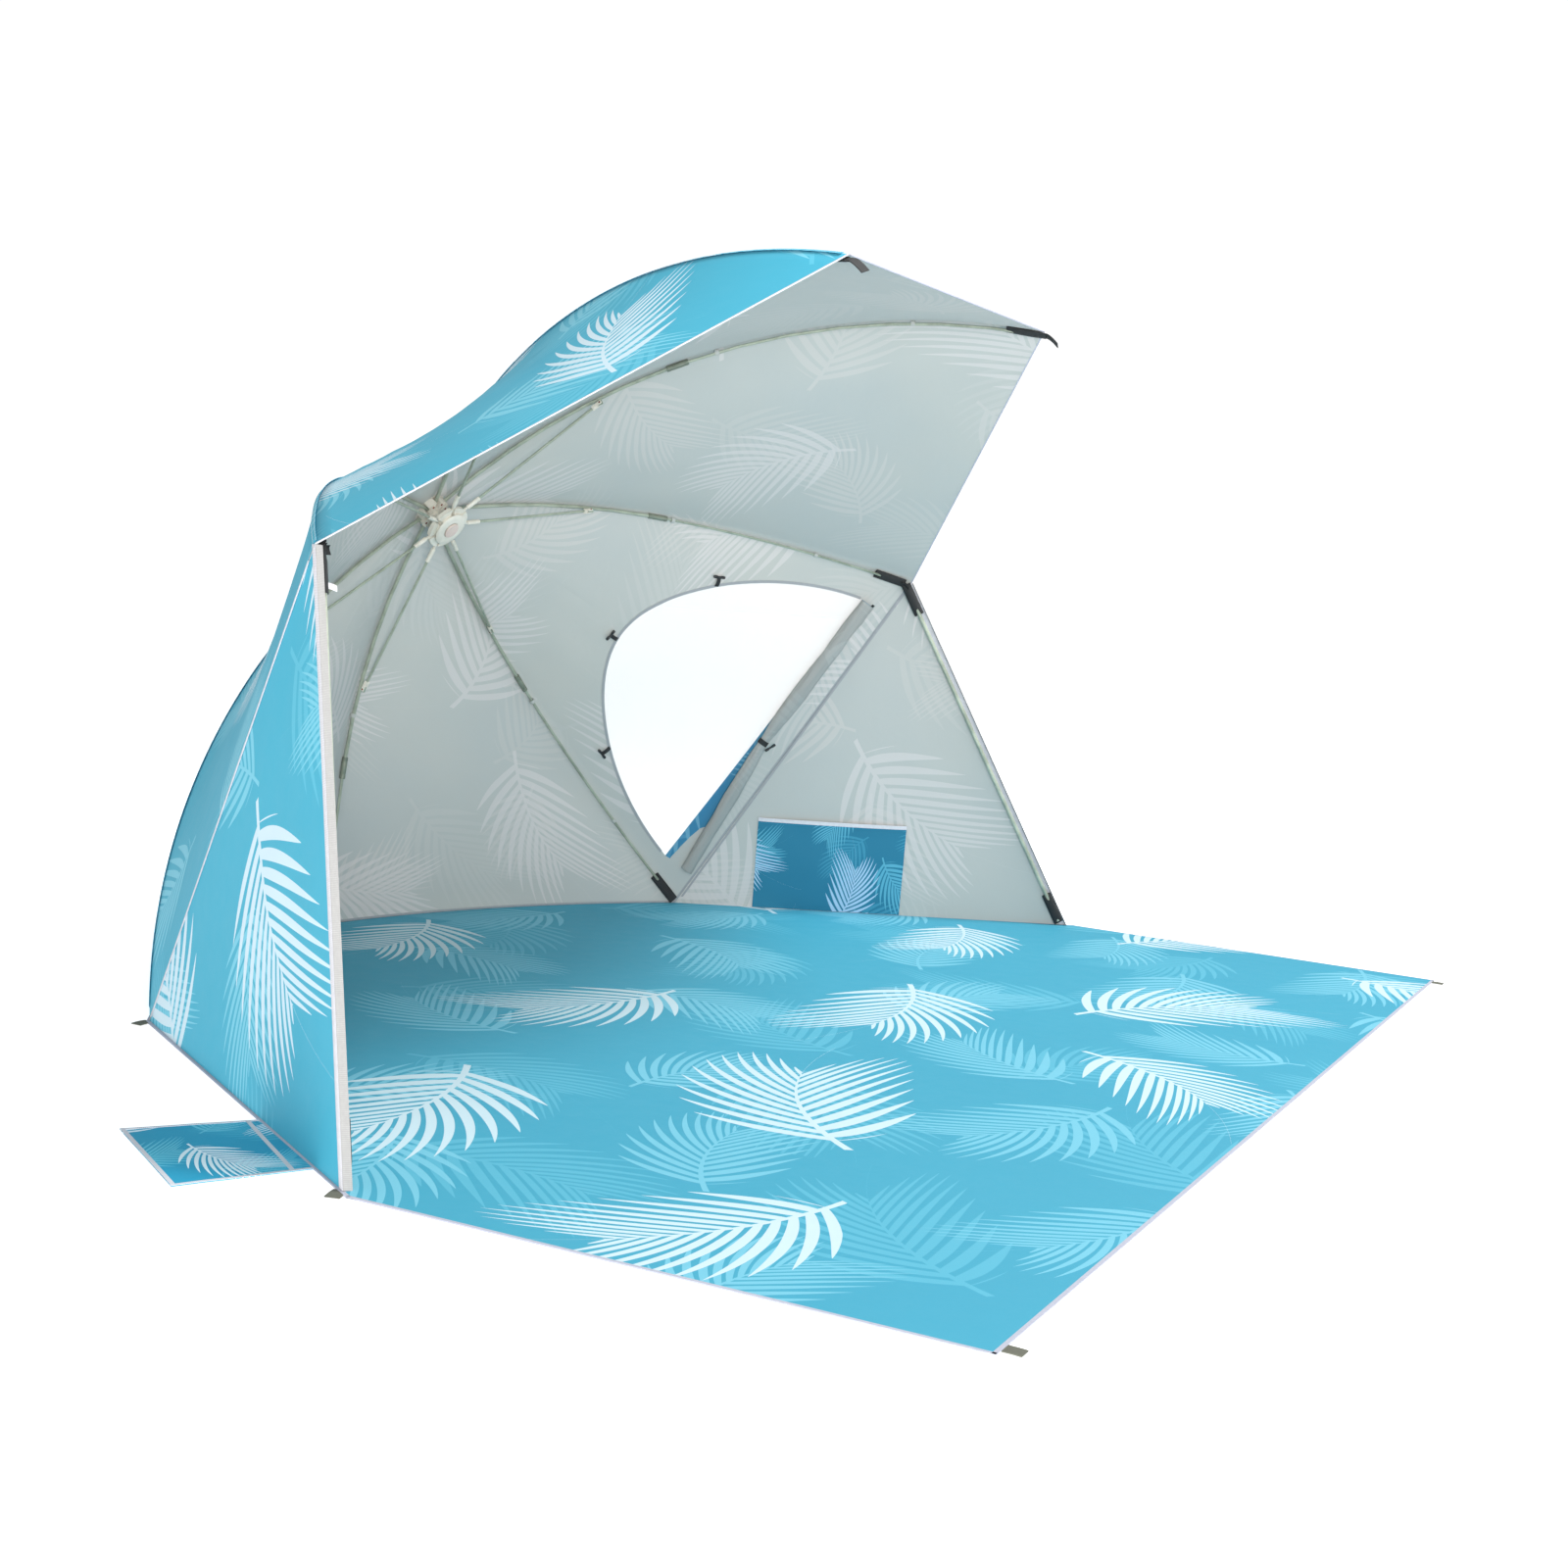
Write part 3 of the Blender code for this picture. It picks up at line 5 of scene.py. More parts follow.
import bmesh
import bpy
from mathutils import Matrix, Vector, noise
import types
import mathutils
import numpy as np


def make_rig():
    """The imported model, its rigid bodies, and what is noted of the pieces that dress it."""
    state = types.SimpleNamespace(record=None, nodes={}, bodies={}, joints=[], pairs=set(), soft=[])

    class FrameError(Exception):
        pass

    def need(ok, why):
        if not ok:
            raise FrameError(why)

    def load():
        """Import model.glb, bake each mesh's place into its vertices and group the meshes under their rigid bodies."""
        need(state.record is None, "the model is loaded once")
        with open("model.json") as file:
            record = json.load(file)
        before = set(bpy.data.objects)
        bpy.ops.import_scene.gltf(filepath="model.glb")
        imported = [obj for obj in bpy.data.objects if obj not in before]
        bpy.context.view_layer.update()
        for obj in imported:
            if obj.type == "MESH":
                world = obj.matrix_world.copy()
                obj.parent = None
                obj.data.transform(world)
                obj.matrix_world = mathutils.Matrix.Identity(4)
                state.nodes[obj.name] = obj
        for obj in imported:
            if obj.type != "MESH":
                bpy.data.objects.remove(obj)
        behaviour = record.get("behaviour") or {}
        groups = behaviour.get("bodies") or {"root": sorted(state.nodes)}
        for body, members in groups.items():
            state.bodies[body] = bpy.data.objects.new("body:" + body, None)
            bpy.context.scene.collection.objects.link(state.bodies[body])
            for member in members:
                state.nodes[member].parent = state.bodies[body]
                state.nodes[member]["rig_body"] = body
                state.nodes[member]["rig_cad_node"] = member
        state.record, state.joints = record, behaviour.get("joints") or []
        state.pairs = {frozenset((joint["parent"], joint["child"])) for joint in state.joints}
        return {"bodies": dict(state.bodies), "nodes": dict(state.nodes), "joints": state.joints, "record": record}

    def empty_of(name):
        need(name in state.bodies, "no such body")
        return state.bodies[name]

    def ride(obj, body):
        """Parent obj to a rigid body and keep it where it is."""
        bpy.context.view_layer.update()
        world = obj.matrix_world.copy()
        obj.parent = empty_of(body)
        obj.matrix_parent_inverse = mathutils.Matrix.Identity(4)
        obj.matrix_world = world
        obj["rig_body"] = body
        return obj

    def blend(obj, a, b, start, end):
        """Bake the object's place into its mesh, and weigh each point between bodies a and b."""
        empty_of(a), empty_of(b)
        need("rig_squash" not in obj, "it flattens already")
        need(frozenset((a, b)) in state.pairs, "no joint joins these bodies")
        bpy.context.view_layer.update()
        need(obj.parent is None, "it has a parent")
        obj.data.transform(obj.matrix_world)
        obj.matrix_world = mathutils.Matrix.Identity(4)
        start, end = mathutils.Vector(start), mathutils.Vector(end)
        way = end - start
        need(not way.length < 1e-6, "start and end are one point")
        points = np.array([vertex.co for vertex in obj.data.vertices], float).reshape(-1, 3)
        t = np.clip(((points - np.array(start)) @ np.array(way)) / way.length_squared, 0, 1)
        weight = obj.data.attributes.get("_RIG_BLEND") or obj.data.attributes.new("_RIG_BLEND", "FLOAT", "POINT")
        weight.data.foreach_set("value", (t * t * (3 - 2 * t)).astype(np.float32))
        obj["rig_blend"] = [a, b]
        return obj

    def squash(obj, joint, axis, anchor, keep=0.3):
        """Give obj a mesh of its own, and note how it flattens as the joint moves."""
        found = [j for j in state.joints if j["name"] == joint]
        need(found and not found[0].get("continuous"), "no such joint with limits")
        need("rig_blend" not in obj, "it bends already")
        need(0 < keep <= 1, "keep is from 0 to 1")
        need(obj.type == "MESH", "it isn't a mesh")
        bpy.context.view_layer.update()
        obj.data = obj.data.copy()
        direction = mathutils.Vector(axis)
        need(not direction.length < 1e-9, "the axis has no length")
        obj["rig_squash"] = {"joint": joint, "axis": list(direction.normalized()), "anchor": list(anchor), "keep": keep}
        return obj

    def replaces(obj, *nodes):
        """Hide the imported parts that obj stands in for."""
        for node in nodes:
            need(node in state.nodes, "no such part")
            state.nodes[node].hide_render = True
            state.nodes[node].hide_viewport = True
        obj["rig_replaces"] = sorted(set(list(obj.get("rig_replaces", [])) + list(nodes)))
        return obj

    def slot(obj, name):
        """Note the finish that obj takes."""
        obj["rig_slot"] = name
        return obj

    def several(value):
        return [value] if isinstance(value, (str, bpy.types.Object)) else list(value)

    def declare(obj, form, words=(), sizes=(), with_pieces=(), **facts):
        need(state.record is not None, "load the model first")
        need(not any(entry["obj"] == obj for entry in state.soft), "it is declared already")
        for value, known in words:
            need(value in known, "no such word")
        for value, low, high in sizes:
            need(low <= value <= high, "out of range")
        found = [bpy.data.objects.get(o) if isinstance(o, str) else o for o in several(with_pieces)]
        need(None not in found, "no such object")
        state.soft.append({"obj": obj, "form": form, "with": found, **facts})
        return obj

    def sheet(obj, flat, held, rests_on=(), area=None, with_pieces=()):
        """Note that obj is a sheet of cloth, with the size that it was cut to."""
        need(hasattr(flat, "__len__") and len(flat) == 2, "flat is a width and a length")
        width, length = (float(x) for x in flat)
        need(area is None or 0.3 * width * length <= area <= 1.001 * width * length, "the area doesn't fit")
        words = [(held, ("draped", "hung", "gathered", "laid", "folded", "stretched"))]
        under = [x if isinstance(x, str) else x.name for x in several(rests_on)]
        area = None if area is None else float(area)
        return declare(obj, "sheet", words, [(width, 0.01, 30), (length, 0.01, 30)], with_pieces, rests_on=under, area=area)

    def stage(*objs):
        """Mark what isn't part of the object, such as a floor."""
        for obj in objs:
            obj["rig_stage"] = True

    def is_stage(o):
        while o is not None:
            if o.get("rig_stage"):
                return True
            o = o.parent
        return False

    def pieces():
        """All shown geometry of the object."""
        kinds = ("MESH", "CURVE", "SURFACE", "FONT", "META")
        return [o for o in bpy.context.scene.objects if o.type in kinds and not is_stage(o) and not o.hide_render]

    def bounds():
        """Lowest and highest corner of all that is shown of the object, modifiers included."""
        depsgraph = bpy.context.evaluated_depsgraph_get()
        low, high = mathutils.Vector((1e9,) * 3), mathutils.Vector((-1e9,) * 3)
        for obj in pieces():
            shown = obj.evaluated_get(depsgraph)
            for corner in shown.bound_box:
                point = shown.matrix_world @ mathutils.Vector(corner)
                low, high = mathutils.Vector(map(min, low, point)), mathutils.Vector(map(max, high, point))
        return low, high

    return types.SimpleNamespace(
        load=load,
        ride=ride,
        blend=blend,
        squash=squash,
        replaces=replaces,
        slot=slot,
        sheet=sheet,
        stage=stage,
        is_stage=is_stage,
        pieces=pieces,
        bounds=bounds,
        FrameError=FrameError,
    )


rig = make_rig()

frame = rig.load()
cad_low, cad_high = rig.bounds()
nodes = frame["nodes"]


# Camera: low and to the left of the opening, as the photograph was taken, with a slight
# roll. The picture is 1600 pixels wide at a focal length of 2067, about 46.5 mm on 36 mm.
EYE = Vector((-2.9904, -1.878, 0.732))
YAW, PITCH, ROLL = 1.102, 0.105, 0.070
SENSOR = 36
FOCAL_SHARE = 2067 / 1600

ahead = Vector((sin(YAW) * cos(PITCH), cos(YAW) * cos(PITCH), -sin(PITCH)))
aside = Vector((cos(YAW), -sin(YAW), 0))
above = aside.cross(ahead)
right = aside * cos(ROLL) + above * sin(ROLL)
above = above * cos(ROLL) - aside * sin(ROLL)
camera_data = bpy.data.cameras.new("camera")
camera_data.sensor_width = SENSOR
camera_data.lens = SENSOR * FOCAL_SHARE
camera = bpy.data.objects.new("camera", camera_data)
camera.matrix_world = Matrix.Translation(EYE) @ Matrix((right, above, -ahead)).transposed().to_4x4()
bpy.context.scene.collection.objects.link(camera)
bpy.context.scene.camera = camera


# Studio: a white backdrop and sweep that give a soft fill from all round. A lamp high over
# the apron leaves the cabin's floor in shade, and a low one on the left lights its walls.
BACKDROP, FILL = 1.05, 0.50     # the strength that is seen, and the strength that lights
SWEEP_RADIUS, SWEEP_DROP = 30, 0.0006


def linear(hex_colour):
    """An sRGB hex colour as linear RGBA."""
    parts = [int(hex_colour[k:k + 2], 16) / 255 for k in (0, 2, 4)]
    return (*[((c + 0.055) / 1.055) ** 2.4 if c > 0.04045 else c / 12.92 for c in parts], 1)


def add(tree, kind, inputs=None, **settings):
    """Adds a node to a tree; an input's value is a socket to link, or a constant."""
    made = tree.nodes.new("ShaderNode" + kind)
    for name, value in settings.items():
        setattr(made, name, value)
    for name, value in (inputs or {}).items():
        if isinstance(value, bpy.types.NodeSocket):
            tree.links.new(value, made.inputs[name])
        else:
            made.inputs[name].default_value = value
    return made


def new_finish(name):
    """A new material, its node tree and its shader."""
    made = bpy.data.materials.new(name)
    made.use_nodes = True
    return made, made.node_tree, made.node_tree.nodes["Principled BSDF"]


def surface(tree, shader, colour, bump, gloss):
    """Links a pattern's colour, bump and gloss to the shader."""
    tree.links.new(colour, shader.inputs["Base Color"])
    tree.links.new(bump, shader.inputs["Normal"])
    tree.links.new(gloss, shader.inputs["Roughness"])


def into_scene(name, bm, *finishes):
    """A bmesh as an object at the origin, with its materials."""
    mesh = bpy.data.meshes.new(name)
    bm.to_mesh(mesh)
    bm.free()
    for finish in finishes:
        mesh.materials.append(finish)
    made = bpy.data.objects.new(name, mesh)
    bpy.context.scene.collection.objects.link(made)
    return made


def lamp(name, energy, size, place, target):
    """A square soft lamp that faces a target."""
    data = bpy.data.lights.new(name, "AREA")
    data.energy = energy
    data.size = size
    made = bpy.data.objects.new(name, data)
    made.location = place
    made.rotation_euler = (Vector(target) - Vector(place)).to_track_quat("-Z", "Y").to_euler()
    bpy.context.scene.collection.objects.link(made)


sky = bpy.data.worlds.new("studio")
sky.use_nodes = True
seen = add(sky.node_tree, "LightPath")
strength = add(sky.node_tree, "Math", {0: seen.outputs["Is Camera Ray"], 1: BACKDROP - FILL, 2: FILL},
               operation="MULTIPLY_ADD")
sky.node_tree.nodes["Background"].inputs["Color"].default_value = linear("FFFFFF")
sky.node_tree.links.new(strength.outputs[0], sky.node_tree.nodes["Background"].inputs["Strength"])
bpy.context.scene.world = sky
bpy.context.scene.view_settings.view_transform = "Standard"
lamp("high", energy=180, size=1.3, place=(1.3, -1.8, 4.1), target=(0.0, -0.8, 0.0))
lamp("low", energy=138, size=1.3, place=(-3.6, -2.9, 0.9), target=(0.2, 0.0, 0.6))

# Matt white paper, with a little light of its own, so that it stays as white as the backdrop.
paper, _, paper_shader = new_finish("white_paper_sweep")
paper_shader.inputs["Base Color"].default_value = linear("F7F7F7")
paper_shader.inputs["Emission Color"].default_value = linear("FFFFFF")
paper_shader.inputs["Emission Strength"].default_value = 0.62
paper_shader.inputs["Roughness"].default_value = 0.9
ground = bmesh.new()
bmesh.ops.create_circle(ground, cap_ends=True, segments=64, radius=SWEEP_RADIUS,
                        matrix=Matrix.Translation((0, 0, -SWEEP_DROP)))
studio_floor = into_scene("studio_floor", ground, paper)
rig.stage(studio_floor)


# Canopy cloth: coated polyester, palm fronds printed outside in three tones and a silver
# coat inside. It is cut in gores between the ribs and sewn into one sheet over them.
CLOTH = 0.0009
CLOTH_OFFSET = 0.0070           # from a rib's centre line out to the cloth
CLOTH_START = 0.0342            # from the crown's middle to the cloth's inner end
CLOTH_PAST = 0.017              # the cloth runs past an elbow rib's tip
CLOTH_SAG = 0.024               # between two ribs
BACK_BOW = 0.058                # the back hem bows out between the ground ribs
SEAM_Z = 0.0023                 # height of the seam to the floor
ELBOW_RISE, ELBOW_RISE_FROM = 0.004, 0.8
WRINKLE, WRINKLES = 0.0022, 9   # depth, and how many to a metre
CREASES_ACROSS, CREASES_DOWN = 14, 5
RIB_BEND_RADIUS = 1.190
RIB_START_SLOPE = radians(3)
RIB_INNER_LENGTH = 0.540
HINGE_RADIUS = 0.024
CROWN = Vector((0, 0.386, 0.792))
TILT = radians(54.8)
AXIS = Vector((0, sin(TILT), cos(TILT)))
RIB_TIPS = {"left_brow": (-0.395, -0.608, 1.168), "left_elbow": (-0.930, -0.145, 0.721),
            "left_corner": (-0.762, 0.272, 0.012), "back": (0, 0.594, 0.012),
            "right_corner": (0.762, 0.272, 0.012), "right_elbow": (0.930, -0.145, 0.721),
            "right_brow": (0.395, -0.608, 1.168)}
ORDER = list(RIB_TIPS)
GROUND_RIBS = ("left_corner", "back", "right_corner")
RIDGE_STEPS = 48
GORE_STEPS = (28, 44)
CUT_LENGTH = 1.05               # a gore from crown to hem, on the flat cut
BOLT_ACROSS, BOLT_DOWN = 0.83, 0.37     # from one gore's place on the printed bolt to the next


def after(name):
    """The next rib round the umbrella."""
    return ORDER[(ORDER.index(name) + 1) % len(ORDER)]


def rib_arc(length):
    """A point on the bent inner rod, in the rib's own plane, and its slope there."""
    pin_lean = RIB_START_SLOPE + HINGE_RADIUS / RIB_BEND_RADIUS
    lean = RIB_START_SLOPE + length / RIB_BEND_RADIUS
    return Vector((HINGE_RADIUS + RIB_BEND_RADIUS * (sin(lean) - sin(pin_lean)),
                   RIB_BEND_RADIUS * (cos(lean) - cos(pin_lean)))), lean


def rib_frame(name):
    """The rib's plane: X runs out from the umbrella's axis, Z along it."""
    chord = Vector(RIB_TIPS[name]) - CROWN
    out = (chord - AXIS * chord.dot(AXIS)).normalized()
    made = Matrix((out, AXIS.cross(out), AXIS)).transposed().to_4x4()
    made.translation = CROWN
    return made


def across_rib(name):
    """The way across the rib's plane."""
    return rib_frame(name).to_3x3() @ Vector((0, 1, 0))


def rib_line(name, share, past=0):
    """A point on the rib's line in its own plane, by share of the cloth's length, and its way."""
    tip = rib_frame(name).inverted() @ Vector(RIB_TIPS[name])
    end = Vector((tip.x, tip.z))
    ferrule, lean = rib_arc(RIB_INNER_LENGTH)
    span = end - ferrule
    reach = span.length / (2 * cos(atan2(-span.y, span.x) - lean))
    knee = ferrule + Vector((cos(lean), -sin(lean))) * reach
    inner = RIB_INNER_LENGTH - CLOTH_START
    length = share * (inner + span.length + past)
    if length < inner:
        point, lean = rib_arc(CLOTH_START + length)
        return point, Vector((cos(lean), -sin(lean)))
    part = min((length - inner) / span.length, 1)
    first, last = ferrule.lerp(knee, part), knee.lerp(end, part)
    along = (last - first).normalized()
    return first.lerp(last, part) + along * max(length - inner - span.length, 0), along


def on_rib(name, share, past=0):
    """A point on the rib's centre line, with the ways along it and out to the cloth."""
    point, along = rib_line(name, share, past)
    own = rib_frame(name)
    turned = own.to_3x3()
    return (own @ Vector((point.x, 0, point.y)), turned @ Vector((along.x, 0, along.y)),
            turned @ Vector((-along.y, 0, along.x)))


def over_rib(name, share, lift=CLOTH_OFFSET):
    """The cloth's inner face over the rib, and the way out from it."""
    elbow = name.endswith("elbow")
    point, along, out = on_rib(name, share, CLOTH_PAST if elbow else 0)
    rise = ELBOW_RISE * max(0, (share - ELBOW_RISE_FROM) / (1 - ELBOW_RISE_FROM)) if elbow else 0
    made = point + out * (lift + rise)
    if name in GROUND_RIBS and share >= 1:
        made += along * ((made.z - SEAM_Z) / -along.z)
    return made, out


rib_lines = {(name, k): over_rib(name, k / RIDGE_STEPS) for name in ORDER for k in range(RIDGE_STEPS + 1)}


def ridge(name, share):
    """The same line as over_rib, read between places worked out once."""
    k = min(int(share * RIDGE_STEPS), RIDGE_STEPS - 1)
    (a, out_a), (b, out_b) = rib_lines[name, k], rib_lines[name, k + 1]
    part = share * RIDGE_STEPS - k
    return a.lerp(b, part), out_a.lerp(out_b, part).normalized()


def gore_point(first, second, across, down, lift=0.0):
    """A point on the cloth between two ribs, by shares across it and from crown to hem."""
    (a, out_a), (b, out_b) = ridge(first, down), ridge(second, down)
    arch = 4 * across * (1 - across)
    out = (out_a + out_b).normalized()
    place = a.lerp(b, across) - out * (CLOTH_SAG * arch * 4 * down * (1 - down))
    if first in GROUND_RIBS and second in GROUND_RIBS:
        place += Vector((out.x, out.y, 0)).normalized() * (BACK_BOW * arch * down ** 4)
    crease = Vector((across * CREASES_ACROSS, down * CREASES_DOWN, ORDER.index(first) * 3.1))
    ripple = noise.noise(place * WRINKLES) + 0.5 * noise.noise(crease)
    ease = min(1, 5 * arch * (1 - down) * min(1, down * 4))
    return place + out * (WRINKLE * ripple * ease + lift)


def gore_out(first, second, across, down):
    """The way out of the tent at a point of the cloth."""
    e = 0.01
    run = gore_point(first, second, across + e, down) - gore_point(first, second, across - e, down)
    fall = (gore_point(first, second, across, min(down + e, 1))
            - gore_point(first, second, across, down - e))
    out = run.cross(fall).normalized()
    return out if out.dot(ridge(first, down)[1] + ridge(second, down)[1]) > 0 else -out


def gore_cut(first, second, across, down):
    """The same point on the flat cut, in metres, with a place of its own on the printed bolt."""
    number = ORDER.index(first)
    width = (ridge(first, down)[0] - ridge(second, down)[0]).length
    return Vector(((across - 0.5) * width + BOLT_ACROSS * number, CUT_LENGTH * down + BOLT_DOWN * number))


def lay(name, steps, place, cut, finishes, thick=CLOTH, out=None):
    """Cloth: a grid laid at place(u, v), its UV map the flat cut in metres, and a thickness.

    The laid face is the inner one. finishes are the outer and the inner material.
    """
    bm = bmesh.new()
    uv = bm.loops.layers.uv.new("cut")
    bmesh.ops.create_grid(bm, x_segments=steps[0], y_segments=steps[1], size=0.5)
    shares = {vert: (vert.co.x + 0.5, vert.co.y + 0.5) for vert in bm.verts}
    for face in bm.faces:
        middle = sum(shares[vert][0] for vert in face.verts) / len(face.verts)
        for loop in face.loops:
            loop[uv].uv = cut(*shares[loop.vert], middle)
    for vert, (u, v) in shares.items():
        vert.co = place(u, v)
    bmesh.ops.remove_doubles(bm, verts=bm.verts, dist=0.00002)
    for edge in bm.edges:
        edge.smooth = not edge.is_boundary
    bm.normal_update()
    if out is not None and sum(face.normal.dot(out) * face.calc_area() for face in bm.faces) < 0:
        bmesh.ops.reverse_faces(bm, faces=bm.faces)
    for face in bm.faces:
        face.smooth = True
    made = into_scene(name, bm, *finishes)
    wall = made.modifiers.new("thickness", "SOLIDIFY")
    wall.thickness = thick
    wall.offset = 1
    wall.material_offset = len(finishes) - 1
    return made


# The print's three tones lie over each other. One frond is a curved midrib with leaflets
# that sweep towards its tip; its place, turn and size are drawn for each cell of a grid.
# A step gives its name, its sum and what goes in: earlier steps, sockets or numbers.
CELL_STEPS = (
    ("grid_x", "DIVIDE", "flat_x", "cell"), ("grid_y", "DIVIDE", "flat_y", "cell"),
    ("row", "FLOOR", "grid_y"), ("slid", "MULTIPLY_ADD", "row", 0.37, "grid_x"), ("column", "FLOOR", "slid"),
)
FROND_STEPS = (
    # the place in the cell, turned and scaled so that the frond runs from x = 0 to 1
    ("dx", "MULTIPLY_ADD", "red", -0.14, -0.43), ("dy", "MULTIPLY_ADD", "green", -0.14, -0.43),
    ("in_x", "SUBTRACT", "slid", "column"), ("in_y", "SUBTRACT", "grid_y", "row"),
    ("off_x", "ADD", "in_x", "dx"), ("off_y", "ADD", "in_y", "dy"),
    ("turn", "MULTIPLY", "blue", 2 * pi), ("cosine", "COSINE", "turn"), ("sine", "SINE", "turn"),
    ("x_x", "MULTIPLY", "off_x", "cosine"), ("x_y", "MULTIPLY", "off_y", "sine"),
    ("spun_x", "SUBTRACT", "x_x", "x_y"),
    ("y_x", "MULTIPLY", "off_x", "sine"), ("spun_y", "MULTIPLY_ADD", "off_y", "cosine", "y_x"),
    ("few", "MULTIPLY_ADD", "value", 0.42, 1.0), ("room", "DIVIDE", "cell", "frond"),
    ("zoom", "MULTIPLY", "few", "room"),
    ("x", "MULTIPLY_ADD", "spun_x", "zoom", 0.60), ("y", "MULTIPLY", "spun_y", "zoom"),
    # the bowed midrib, and the way off it
    ("offset_x", "SUBTRACT", "x", 0.5), ("bow", "MULTIPLY", "offset_x", "offset_x"),
    ("bowed", "MULTIPLY_ADD", "bow", 0.30, "y"), ("level", "SUBTRACT", "bowed", 0.03),
    ("wide", "ABSOLUTE", "level"),
    # where a leaflet that passes here is rooted on the midrib, and its number
    ("lean", "MULTIPLY_ADD", "wide", 0.80, 0.30), ("swept", "MULTIPLY", "lean", "wide"),
    ("fan", "MULTIPLY_ADD", "wide", 2.0, 1.0), ("back", "SUBTRACT", "x", "swept"),
    ("root", "DIVIDE", "back", "fan"),
    ("side", "SIGN", "level"), ("shift", "MULTIPLY", "side", 0.25),
    ("count", "MULTIPLY_ADD", "root", 11.5, "shift"),
    ("number", "FLOOR", "count"), ("beat", "MULTIPLY", "number", 12.7), ("wave", "SINE", "beat"),
    ("uneven", "MULTIPLY_ADD", "wave", 0.09, 0.95),
    # the leaflets' length along the midrib: soon long, and short again at the tip
    ("near", "ADD", "root", 0.16), ("near_up", "MAXIMUM", "near", 0.0), ("rise", "POWER", "near_up", 0.36),
    ("far", "SUBTRACT", 1.0, "root"), ("far_up", "MAXIMUM", "far", 0.0), ("fall", "POWER", "far_up", 0.80),
    ("size", "MULTIPLY", "rise", "fall"), ("long", "MULTIPLY", "size", "uneven"),
    ("reach", "MULTIPLY_ADD", "long", 0.86, 0.001),
    # the blade's half width along its length: a narrow neck, a belly and a fine point
    ("out", "DIVIDE", "wide", "reach"), ("rest", "SUBTRACT", 1.0, "out"), ("rest_up", "MAXIMUM", "rest", 0.0),
    ("point", "POWER", "rest_up", 0.82), ("neck", "ADD", "out", 0.10), ("belly", "POWER", "neck", 0.35),
    ("taper", "MULTIPLY", "point", "belly"), ("half", "MULTIPLY", "taper", 0.60),
    ("phase", "FRACT", "count"), ("middle", "SUBTRACT", "phase", 0.5), ("apart", "ABSOLUTE", "middle"),
    ("blade", "LESS_THAN", "apart", "half"), ("after", "GREATER_THAN", "root", 0.0),
    ("leaf", "MULTIPLY", "blade", "after"),
    # the stem, which is thinner towards the tip
    ("thin", "MULTIPLY_ADD", "x", -0.014, 0.0155), ("stem_side", "LESS_THAN", "wide", "thin"),
    ("stem_from", "GREATER_THAN", "x", -0.11), ("stem_to", "LESS_THAN", "x", 0.97),
    ("stem_long", "MULTIPLY", "stem_from", "stem_to"), ("stem", "MULTIPLY", "stem_side", "stem_long"),
    ("whole", "MAXIMUM", "leaf", "stem"), ("kept", "LESS_THAN", "value", "filled"),
    ("mask", "MULTIPLY", "whole", "kept"),
)
# The soft, the middle and the white tone: cell and frond in metres, the grid's turn, the
# draw's seed, and the share of cells that hold a frond.
FROND_SOCKETS = ("Cell", "Frond", "Turn", "Seed", "Filled")
FROND_SIZES = ((0.42, 0.280, 0.9, 3.7, 0.85), (0.38, 0.250, 2.2, 11.3, 0.88), (0.50, 0.330, 0.35, 41.9, 0.92))
WAVE_LENGTH = 0.314             # a wave pattern of scale 1 repeats at this length in metres
THREAD = 0.0016                 # drawn coarser than the real 0.3 mm, so that it shows
CLOUDS, CREASES, SPECKS = 1.7, 26.0, 160.0      # to a metre: about 590, 38 and 6 mm across


def frond_layer():
    """Node group: one layer of fronds on the flat cut, as a mask."""
    tree = bpy.data.node_groups.new("frond_layer", "ShaderNodeTree")
    tree.interface.new_socket("Cut", in_out="INPUT", socket_type="NodeSocketVector")
    for label in FROND_SOCKETS:
        tree.interface.new_socket(label, in_out="INPUT", socket_type="NodeSocketFloat")
    tree.interface.new_socket("Mask", in_out="OUTPUT", socket_type="NodeSocketFloat")
    given = tree.nodes.new("NodeGroupInput").outputs
    turned = add(tree, "VectorRotate", {"Vector": given["Cut"], "Angle": given["Turn"]},
                 rotation_type="Z_AXIS")
    flat = add(tree, "SeparateXYZ", {0: turned.outputs[0]})
    made = {"flat_x": flat.outputs["X"], "flat_y": flat.outputs["Y"], "cell": given["Cell"],
            "frond": given["Frond"], "filled": given["Filled"]}

    def work(steps):
        for name, operation, *values in steps:
            inputs = {number: made.get(value, value) for number, value in enumerate(values)}
            made[name] = add(tree, "Math", inputs, operation=operation).outputs[0]

    work(CELL_STEPS)
    cell = add(tree, "CombineXYZ", {"X": made["column"], "Y": made["row"], "Z": given["Seed"]})
    dice = add(tree, "TexWhiteNoise", {"Vector": cell.outputs[0]}, noise_dimensions="3D")
    drawn = add(tree, "SeparateColor", {0: dice.outputs["Color"]})
    made.update(zip(("red", "green", "blue"), drawn.outputs), value=dice.outputs["Value"])
    work(FROND_STEPS)
    result = tree.nodes.new("NodeGroupOutput")
    tree.links.new(made["mask"], result.inputs["Mask"])
    return tree


FROND_LAYER = frond_layer()


